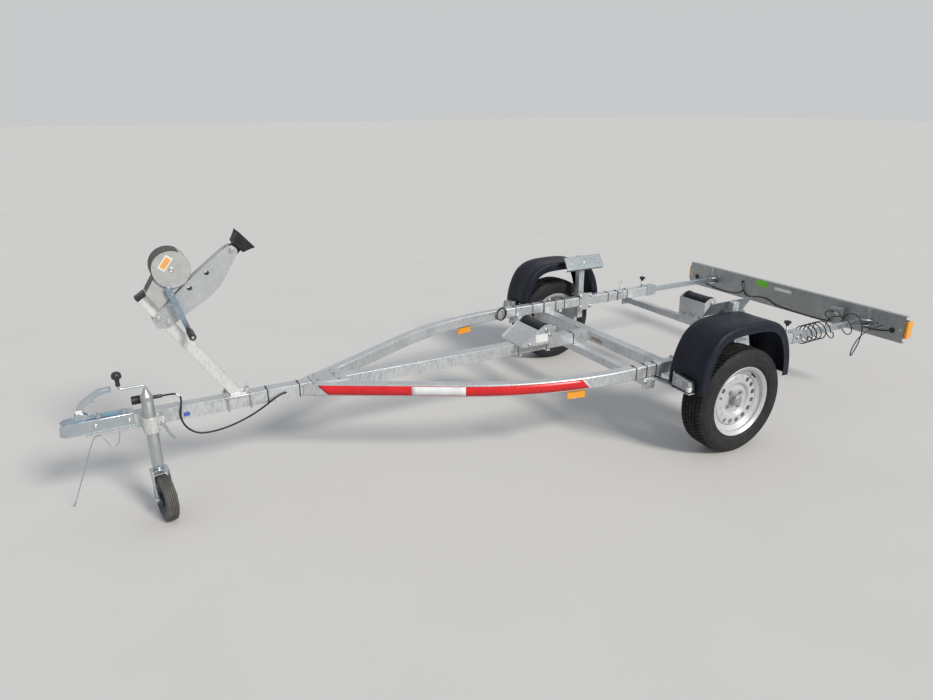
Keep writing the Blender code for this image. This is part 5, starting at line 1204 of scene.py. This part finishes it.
def make_roller(place, x, z):
    """Ribbed rubber roller with plain end caps on a bright pin."""
    half, reach = 0.095, extent("keel_roller_" + place)[1].y
    body = "keel_roller_" + place
    skin_piece = Piece("roller_%s_rubber" % place, "roller_rubber", 0, ("keel_roller_" + place,),
                       smooth=40, body=body)
    radius = 0.036
    plain = half - 0.02
    profile = [(0.0082, half), (0.024, half), (0.0262, half - 0.0012), (0.0345, half - 0.0012),
               (radius, half - 0.003), (radius, half - 0.0105), (0.0345, half - 0.0125),
               (0.0338, half - 0.015)]
    ridges = 11
    pitch = 2 * plain / ridges
    for k in range(ridges):
        start = plain - k * pitch
        profile += [(0.033, start), (0.033, start - pitch * 0.7), (0.0318, start - pitch * 0.76),
                    (0.0318, start - pitch * 0.94)]
    profile += mirror(profile[:8])
    skin_piece.turned(profile, (x, 0, z), (0, 1, 0), 64, closed=True)
    skin_piece.done()
    pin = Piece("roller_%s_pin" % place, "zinc", 0.0004, body=body)
    pin.rod((x, -reach, z), (x, reach, z), 0.008, 24)
    for sign in (1, -1):
        pin.rod((x, sign * (reach - 0.0048), z), (x, sign * (reach - 0.0006), z), 0.0115, 24)
    pin.done()


def make_roller_brackets():
    """Fixings and blank labels on the roller brackets."""
    low = extent("roller_bracket_front")[0]
    foot = low.z + 0.005
    fixings = Piece("roller_front_fixings", "bolt_zinc", 0.0004)
    for x in (0.772, 0.592):
        for sign in (1, -1):
            fixings.bolt((x, sign * 0.0395, foot), (0, 0, 1), 0.013, 0.01)
            fixings.rod((x, sign * 0.0395, low.z - 0.066), (x, sign * 0.0395, foot), 0.004, 12)
        fixings.block((x, 0, low.z - 0.0635), (0.022, 0.096, 0.0045))
    for sign in (1, -1):
        fixings.bolt((0.6285, sign * 0.1043, 0.5045), (0, sign, 0), 0.012)
        fixings.bolt((0.752, sign * 0.1043, 0.4665), (0, sign, 0), 0.012)
    fixings.done()
    labels = Piece("roller_front_label", "label_white", 0)
    labels.span((0.64, 0.104, 0.47), (0.716, 0.1043, 0.514))
    labels.done()
    fixings = Piece("roller_rear_fixings", "bolt_zinc", 0.0004)
    for sign in (1, -1):
        for y in (0.06, 0.012):
            fixings.bolt((-0.501, sign * y, 0.42), (1, 0, 0), 0.012)
        fixings.bolt((-0.556, sign * 0.1043, 0.412), (0, sign, 0), 0.012)
        fixings.bolt((-0.528, sign * 0.1043, 0.456), (0, sign, 0), 0.012)
    fixings.done()
    ears = Piece("roller_rear_ears", "galvanised_plate", 0.0008)
    for sign in (1, -1):
        inner, outer = sorted((sign * 0.1043, sign * 0.1073))
        ears.plate(mm((-588, 482), (-575, 508), (-508, 452), (-508, 404), (-534, 404)), inner, outer)
    ears.done()


def make_bunk(side, sign):
    """Fixings of one hull support: the pad's screws, the post's clamp bolts and its bent straps."""
    tilt = radians(58)
    out = Vector((0, sign * sin(tilt), -cos(tilt)))
    face = Vector((BUNK_X, sign * 0.598, 0.68))
    fixings = Piece("bunk_%s_fixings" % side, "bolt_zinc", 0.0004)
    fixings.rod(face - out * 0.0006, face + out * 0.0002, 0.0062, 24)
    for dx in (-0.105, 0.105):
        spot = face + Vector((dx, 0, 0))
        fixings.rod(spot - out * 0.0005, spot + out * 0.0002, 0.004, 20)
    inner = 0.56 - GAP
    for dx in (-0.04, 0.04):
        for z in BUNK_STRAPS:
            fixings.bolt((BUNK_X + dx, sign * inner, z), (0, -sign, 0), 0.013, 0.008)
    fixings.bolt((BUNK_X, sign * 0.656, 0.36), (0, sign, 0), 0.012)
    fixings.done()
    clip = Piece("bunk_%s_strap" % side, "zinc", 0.0006)
    half = mm((40, 562), (40, 640), (38, 657), (25, 660.3))
    bend = ([(BUNK_X - dx, sign * y) for dx, y in half]
            + [(BUNK_X + dx, sign * y) for dx, y in reversed(half)])
    for z in BUNK_STRAPS:
        clip.tube(smooth_route([(x, y, z) for x, y in bend], 0.006), 0.0046, 14)
    clip.done()


# Light board

def make_board():
    """Folded sheet carrier: seams, end brackets, grommets, blank labels and the inner loom."""
    low, high = extent("light_board")
    face = high.x
    seams = Piece("board_seams_and_painted_top", "board_edge", 0.0004, body="light_board")
    for sign in (1, -1):
        inner, outer = sorted((sign * 0.6025, sign * 0.6225))
        seams.span((face, inner, low.z + 0.002), (face + 0.0016, outer, high.z - 0.002))
    # Painted highlight: a thin sheet of the lighter board_edge zinc over the whole top makes the top read
    # lighter than the front
    seams.span((low.x + 0.001, low.y + 0.001, high.z - 0.0006),
               (face - 0.0005, high.y - 0.001, high.z + 0.0004))
    seams.done()
    fixings = Piece("board_fixings", "bolt_zinc", 0.0004, body="light_board")
    for sign in (1, -1):
        for y, z in mm((606.5, 492), (618.5, 362), (811, 425)):
            fixings.bolt((face + 0.0012, sign * y, z), (1, 0, 0), 0.01)
        for y, z in mm((545, 455), (545, 395), (652, 452), (652, 392)):
            fixings.rivet((face, sign * y, z), (1, 0, 0), 0.0045)
    fixings.done()
    rubber_piece = Piece("board_grommets", "black_rubber", 0.0006, body="light_board")
    for sign in (1, -1):
        rubber_piece.turned(mm((4.5, 0), (15, 0), (16.5, 3), (14, 6.2), (9, 10), (5, 10.5)),
                            (face, sign * 0.76, 0.41), (1, 0, 0), 28)
        rubber_piece.turned(mm((0, 0), (4.8, 0), (5, 1.2), (0, 1.8)), (face, sign * 0.672, 0.43),
                            (1, 0, 0), 20)
    rubber_piece.turned(mm((3.5, 0), (8.5, 0), (8.5, 3), (5, 6)), (face, -0.331, 0.462), (1, 0, 0), 24)
    rubber_piece.done()
    labels = (("board_green_label", "vinyl_green", -0.217, -0.126, 0.462, 0.5055),
              ("board_label", "label_white", -0.065, 0.065, 0.464, 0.483))
    for name, finish, start, stop, z_low, z_high in labels:
        label = Piece(name, finish, 0, body="light_board")
        label.span((face, start, z_low), (face + 0.0003, stop, z_high))
        label.done()
    fold = Piece("board_bracket", "board_edge", 0.0008, body="light_board")
    fold.plate([(face, 0.47), (face + 0.052, 0.47), (face + 0.052, 0.458), (face + 0.0495, 0.458),
                (face + 0.0495, 0.4675), (face, 0.4675)], 0.391, 0.463)
    fold.plate([(face, 0.47), (face + 0.052, 0.47), (face + 0.052, 0.458), (face + 0.018, 0.379),
                (face, 0.379)], 0.46, 0.463)
    fold.done()
    loom = Piece("board_loom", "cable_black", 0, body="light_board")
    runs = (mm((-1327, -331, 467), (-1318, -331, 462), (-1320, -322, 430), (-1324, -300, 385),
               (-1325, -250, 372), (-1325.2, -172, 389), (-1325.2, -100, 385), (-1325.2, -36, 364),
               (-1325.2, 100, 356), (-1325.2, 244, 353), (-1325.2, 330, 357), (-1320, 385, 368)),
            mm((-1320, 385, 368), (-1305, 372, 385), (-1298, 350, 408), (-1303, 372, 432),
               (-1308, 420, 428), (-1309, 470, 412), (-1308, 520, 398), (-1310, 560, 392),
               (-1316, 580, 390.5), (-1320, 640, 386), (-1322, 700, 392), (-1320, 745, 405)),
            mm((-1320, -745, 405), (-1318, -700, 388), (-1322, -640, 372), (-1324, -560, 362),
               (-1325, -450, 360), (-1324, -360, 374), (-1324, -318, 405)))
    for run in runs:
        loom.tube(smooth_route(run, 0.008), 0.0032, 10)
    loom.done()
    tag = Piece("board_loom_tag", "label_white", 0.0003, body="light_board")
    tag.rod((-1.3078, 0.405, 0.4308), (-1.3086, 0.436, 0.4236), 0.005, 14)
    tag.done()
    clips = Piece("board_loom_clips", "black_plastic", 0.0004, body="light_board")
    for y, z in mm((-300, 385), (-36, 364), (244, 353)):
        clips.block((face + 0.0045, y, z), (0.0088, 0.004, 0.01))
    clips.done()
    gusset = Piece("board_arm_brackets", "zinc", 0.001, body="light_board")
    ear = mm((0, 552), (12, 552), (78, 575), (78, 605), (12, 650), (0, 650))
    for sign in (1, -1):
        for level in (0.4405, 0.4065):
            gusset.plate([(face + dx, sign * y) for dx, y in ear], level, level + 0.003, "Z")
    gusset.done()


def make_arm_end(side, sign):
    """Set screw with its star knob, and the collar, where a light board arm leaves its rail."""
    x, y = -0.625, sign * RAIL_Y
    low, high = extent("rail_knob_" + side)
    stem = Piece("rail_screw_%s" % side, "bolt_zinc", 0.0003, ("rail_knob_" + side,))
    stem.turned(mm((0, 0), (12.5, 0), (12.5, 1.6), (0, 1.6)), (x, y, low.z), (0, 0, 1), 28)
    stem.nut((x, y, low.z + 0.0014), (0, 0, 1), 0.019, 0.0095)
    stem.nut((x, y, low.z + 0.013), (0, 0, 1), 0.017, 0.007)
    profile = []
    for k in range(15):
        start = low.z + 0.001 + 0.003 * k
        profile += [(0.0052, start), (0.006, start + 0.0015)]
    stem.turned([(0, low.z + 0.001)] + profile + [(0, low.z + 0.046)], (x, y, 0), (0, 0, 1), 20)
    stem.done()
    knob = Piece("rail_star_%s" % side, "black_plastic", 0.0012, smooth=40)
    star = [(turn, 0.0182 + 0.0018 * cos(5 * turn)) for turn in turns(60)]
    outline = [(x + radius * cos(turn), y + radius * sin(turn)) for turn, radius in star]
    knob.plate(outline, high.z - 0.017, high.z - 0.004, "Z")
    knob.turned(mm((0, 0), (8.5, 0), (10, 12), (13, 13.5), (0, 13.5)), (x, y, high.z - 0.03), (0, 0, 1),
                28)
    knob.turned(mm((0, 0), (12, 0), (10.5, 3.4), (0, 4)), (x, y, high.z - 0.0042), (0, 0, 1), 28)
    knob.done()
    collar = Piece("rail_collar_%s" % side, "zinc", 0.0006)
    half, low_z, high_z = RAIL_FACE, RAIL_LOW, RAIL_HIGH
    for near, far in ((half, half + 0.0025), (-half - 0.0025, -half)):
        collar.span((-0.733, y + near, low_z - 0.0028), (-0.655, y + far, high_z + 0.0028))
    for near, far in ((low_z - 0.0028, low_z - 0.0003), (high_z + 0.0003, high_z + 0.0028)):
        collar.span((-0.733, y - half, near), (-0.655, y + half, far))
    collar.bolt((-0.69, y + sign * (half + 0.0025), 0.425), (0, sign, 0), 0.013)
    collar.done()


def make_rear_lamp(side, sign):
    """Combination lamp: black tub, ribbed red, amber and clear fields, and the triangle reflector."""
    low, high = extent("rear_lamp_" + side)
    outer, inner = 0.845, 0.625
    tub = Piece("rear_lamp_%s_tub" % side, "black_plastic", 0.002, ("rear_lamp_" + side,),
                body="light_board")
    front, rear = high.x, low.x
    tub_end = outer - 0.0175
    y_low, y_high = sorted((sign * inner, sign * tub_end))
    tub.span((rear + 0.014, y_low, low.z), (front, y_high, high.z))
    tub.span((rear + 0.01, y_low + 0.002, low.z + 0.002), (rear + 0.015, y_high - 0.002, high.z - 0.002))
    tub.done()
    for name, finish, start, stop in (("tail", "lens_red", 0.003, 0.108),
                                      ("reverse", "lens_clear", 0.11, 0.14)):
        y_low, y_high = sorted((sign * (inner + start), sign * (inner + stop)))
        lens_piece = Piece("rear_lamp_%s_%s" % (side, name), finish, 0.002, body="light_board")
        lens_piece.span((rear, y_low, low.z + 0.003), (rear + 0.013, y_high, high.z - 0.003))
        lens_piece.done()
    amber = Piece("rear_lamp_%s_turn" % side, "lens_amber", 0.003, body="light_board")
    skin_at = sign * (tub_end + 0.0004)
    amber.plate([(rear, sign * (inner + 0.142)), (rear, sign * (outer - 0.006)),
                 (rear + 0.006, sign * outer), (front - 0.0005, sign * outer), (front - 0.0005, skin_at),
                 (rear + 0.013, skin_at), (rear + 0.013, sign * (inner + 0.142))], low.z + 0.003,
                high.z - 0.003, "Z")
    amber.done()
    triangle = Piece("rear_lamp_%s_reflector" % side, "lens_red", 0.0012, body="light_board")
    middle = sign * (inner + 0.05)
    corners = [(middle - 0.04, low.z + 0.016), (middle + 0.04, low.z + 0.016), (middle, high.z - 0.016)]
    triangle.plate(corners, rear - 0.0004, rear + 0.0025, "X")
    triangle.done()


def make_plate_carrier():
    """Number plate carrier: a blank pad and its two screws."""
    rear = -1.333
    pad = Piece("number_plate_carrier", "plate_black", 0.0008, body="light_board")
    pad.span((rear - 0.003, -0.26, 0.372), (rear + 0.0004, 0.26, 0.482))
    pad.done()
    fixings = Piece("number_plate_screws", "bolt_zinc", 0.0003, body="light_board")
    for y in (-0.09, 0.09):
        fixings.rivet((rear - 0.003, y, 0.474), (-1, 0, 0), 0.0042)
    fixings.done()


# Frame

def rail_point(run, lift):
    """Point on the left rail at X, moved outward by lift: straight, bent, then straight to the drawbar."""
    heading = min(asin(min(max((run - RAIL_BEND_X) / RAIL_BEND, 0.0), 1.0)), RAIL_TOE)
    past = max(run - RAIL_BEND_X - RAIL_BEND * sin(RAIL_TOE), 0.0)
    y = RAIL_Y - RAIL_BEND * (1 - cos(heading)) - past * tan(RAIL_TOE)
    return run + lift * sin(heading), y + lift * cos(heading)


def strip(piece, sign, start, stop, low, high, lift, slant=0.0):
    """A thin band on a rail's outer face between two places along it, its ends slanted."""
    rows = []
    steps = max(2, round((start - stop) / 0.02))
    for level, shift in ((low, -slant), ((low + high) / 2, 0.0), (high, slant)):
        points = [rail_point(start + (stop - start) * k / steps + shift, lift) for k in range(steps + 1)]
        rows.append([(x, sign * y, level) for x, y in points])
    piece.grid(rows)


def make_stickers():
    """Blank red strip with its white block on each rail, with a thin pale edge at its rear end."""
    for side, sign in SIDES:
        red = Piece("rail_strip_%s" % side, "vinyl_red", 0)
        strip(red, sign, 1.855, 0.755, 0.402, 0.4475, RAIL_FACE, 0.02)
        red.done(0.0004, 0.0)
        white = Piece("rail_strip_block_%s" % side, "vinyl_white", 0)
        strip(white, sign, 1.498, 1.284, 0.404, 0.4455, RAIL_FACE + 0.0004)
        strip(white, sign, 0.752, 0.745, 0.402, 0.4475, RAIL_FACE + 0.0002, 0.02)
        white.done(0.0004, 0.0)
        middle = sum(extent("side_reflector_" + side), Vector()) / 2
        turn = Matrix.Rotation(-sign * asin((0.79 - RAIL_BEND_X) / RAIL_BEND), 4, "Z")
        lens_piece = Piece("side_lens_%s" % side, "lens_amber", 0.0016, ("side_reflector_" + side,))
        lens_piece.block(middle, (0.094, 0.0076, 0.047), turn)
        lens_piece.done()
        frame_piece = Piece("side_lens_%s_rim" % side, "lens_amber", 0.0006)
        across = turn @ Vector((0, sign * 0.0039, 0))
        along = turn @ Vector((1, 0, 0))
        for level in (-1, 1):
            frame_piece.block(middle + across + Vector((0, 0, level * 0.0215)), (0.093, 0.0012, 0.0028),
                              turn)
            frame_piece.block(middle + across + along * level * 0.045, (0.0028, 0.0012, 0.045), turn)
        frame_piece.done()


RIGHT_TIES = (0.42, 0.293, 0.209, 0.048, -0.313, -0.394, -0.477)
LEFT_TIES = (0.47, 0.405, 0.345, -0.42)
DRAWBAR_TIES = (0.414, 1.96, 2.105)
TIE_WIDTH, TIE_THICK = 0.0048, 0.0014


def make_ties():
    """Cable ties round the rails and the drawbar, and the loom's ring and wire loop on the right rail."""
    ties = Piece("cable_ties", "black_plastic", 0.0003)
    half, low, high = TIE_WIDTH / 2, RAIL_LOW, RAIL_HIGH
    for places, y, reach in ((RIGHT_TIES, -RAIL_Y, RAIL_FACE), (LEFT_TIES, RAIL_Y, RAIL_FACE),
                             (DRAWBAR_TIES, 0, 0.0303)):
        for x in places:
            for start in (reach, -reach - TIE_THICK):
                ties.span((x - half, y + start, low - TIE_THICK),
                          (x + half, y + start + TIE_THICK, high + TIE_THICK))
            for level in (low - TIE_THICK, high):
                ties.span((x - half, y - reach, level), (x + half, y + reach, level + TIE_THICK))
            ties.span((x - half * 1.5, y - 0.006, high + TIE_THICK),
                      (x + half * 1.5, y + 0.001, high + TIE_THICK + 0.004))
    ties.done()
    ring = Piece("cable_ring", "cable_black", 0)
    for shift, radius in mm((0, 42), (6, 37)):
        centre = Vector((0.53 + shift, -0.5545 + shift, 0.432))
        points = [centre + radius * Vector((cos(t) * 0.8, 0.1 * sin(t), sin(t))) for t in turns(40)]
        ring.tube(points, 0.003, 10, closed=True)
    ring.done()
    loop = Piece("wire_loop", "rope_steel", 0)
    loop.tube(smooth_route(mm((-404, -563.5, 440), (-404, -564, 480), (-402, -570, 512), (-412, -578, 522),
                              (-430, -580, 520), (-436, -576, 500), (-432, -564, 470),
                              (-430, -563.5, 440)), 0.006), 0.0015, 8)
    loop.done()
    clip = Piece("wire_loop_clip", "zinc", 0.0004)
    clip.span((-0.44, -0.5648, 0.437), (-0.395, -0.561, 0.462))
    clip.bolt((-0.4175, -0.561, 0.45), (0, 1, 0), 0.009)
    clip.done()
    runs = Piece("frame_loom", "cable_black", 0)
    for sign in (1, -1):
        runs.tube(smooth_route([(0.32, sign * 0.726, 0.392), (0.322, sign * 0.69, 0.3885),
                                (0.34, sign * 0.64, 0.3895), (0.352, sign * 0.6, 0.3915),
                                (0.42, sign * 0.587, 0.3918), (0.47, sign * 0.586, 0.3918)], 0.008),
                  0.0031, 10)
    runs.tube(smooth_route(mm((470, -586, 391.8), (560, -584, 391.8), (700, -571, 391.8),
                              (900, -538, 391.8)), 0.02), 0.0031, 10)
    runs.done()


def make_fixings():
    """Bolts of the junction plates, axle seats and crossbars, and weld beads."""
    bolts = Piece("junction_bolts", "bolt_zinc", 0.0004)
    for x, y in mm((1871, 34), (1871, -34), (1778, -66), (1778, 66), (1781, 14), (1781, -14)):
        bolts.bolt((x, y, PLATE_TOP), (0, 0, 1), 0.013)
        bolts.nut((x, y, PLATE_UNDER), (0, 0, -1), 0.013, 0.008)
    bolts.done()
    seats = Piece("axle_bolts", "bolt_zinc", 0.0004)
    for sign in (1, -1):
        for x in (0.115, 0.205):
            for y in (0.58, 0.602):
                seats.nut((x, sign * y, PLATE_UNDER), (0, 0, -1), 0.013, 0.009)
            loop = [(x, sign * 0.5605, 0.391), (x, sign * 0.5605, 0.457), (x, sign * 0.563, 0.4595),
                    (x, sign * 0.617, 0.4595), (x, sign * 0.6195, 0.457), (x, sign * 0.6195, 0.391)]
            seats.tube(loop, 0.0042, 12)
    for x in (0.397, -0.525):
        for sign in (1, -1):
            for dx in (-0.024, 0.024):
                seats.bolt((x + dx, sign * 0.631, 0.38), (0, sign, 0), 0.011)
    seats.done()
    Piece("axle_label", "label_brown", 0).span((0.19, -0.096, 0.349), (0.1903, 0.008, 0.369)).done()
    weld = Piece("frame_welds", "galvanised_plate", 0)
    for sign in (1, -1):
        seat = [(0.13 + 0.0025 * k, sign * 0.6385, 0.3945 + 0.0003 * sin(k * 2.3)) for k in range(25)]
        weld.tube(seat, 0.0024, 8)
        nose = [(1.925 - 0.0012 * k, sign * (0.0316 + 0.00033 * k), 0.4556 + 0.0004 * sin(k * 2.1))
                for k in range(4)]
        weld.tube(nose, 0.0018, 8)
    weld.done()
    tag = Piece("towing_lead_tag", "label_white", 0.0004)
    tag.rod((2.469, 0.024, 0.4975), (2.479, 0.01, 0.505), 0.0062, 14)
    tag.done()
    blue = Piece("towing_lead_clip", "blue_plastic", 0.0008)
    blue.span((2.44, 0.0303, 0.408), (2.464, 0.0345, 0.424))
    blue.done()


# CAD nodes that are shown with their own shape: finish, and radius of the edges
TUBES = (("drawbar", "galvanised", 0.0045), ("rail_left", "galvanised", 0.0045),
         ("rail_right", "galvanised", 0.0045), ("crossbar_front", "galvanised", 0.003),
         ("crossbar_rear", "galvanised", 0.003), ("axle_beam", "galvanised", 0.004),
         ("arm_left", "galvanised_plate", 0.003), ("arm_right", "galvanised_plate", 0.003),
         ("junction_plate_top", "galvanised_plate", 0.001),
         ("junction_plate_bottom", "galvanised_plate", 0.001),
         ("fender_stay_left", "galvanised_plate", 0.0012),
         ("fender_stay_right", "galvanised_plate", 0.0012), ("winch_post", "galvanised_pale", 0.003),
         ("roller_bracket_front", "galvanised", 0.0012),
         ("roller_bracket_rear", "galvanised_plate", 0.0012), ("bunk_post_left", "galvanised", 0.0025),
         ("bunk_post_right", "galvanised", 0.0025), ("bunk_pad_left", "pad_zinc", 0.002),
         ("bunk_pad_right", "pad_zinc", 0.002), ("light_board", "board_sheet", 0.001),
         ("light_arm_left", "zinc", 0.0025), ("light_arm_right", "zinc", 0.0025),
         ("jockey_leg", "zinc_dull", 0.001), ("jockey_fork", "zinc", 0.0012),
         ("coupling_head", "zinc", 0.004), ("winch_frame", "winch_cover", 0.0015))

# The whole trailer

make_camera()
make_finishes()
make_cords()
for node, finish, bevel in TUBES:
    dress(node, finish, bevel)
make_wheels()
make_coupling()
make_lever()
make_jockey()
make_winch()
make_stand()
for roller in ROLLERS:
    make_roller(*roller)
make_roller_brackets()
make_board()
make_plate_carrier()
make_stickers()
make_ties()
make_fixings()
for side, sign in SIDES:
    make_bunk(side, sign)
    make_arm_end(side, sign)
    make_rear_lamp(side, sign)
make_floor()
make_light()
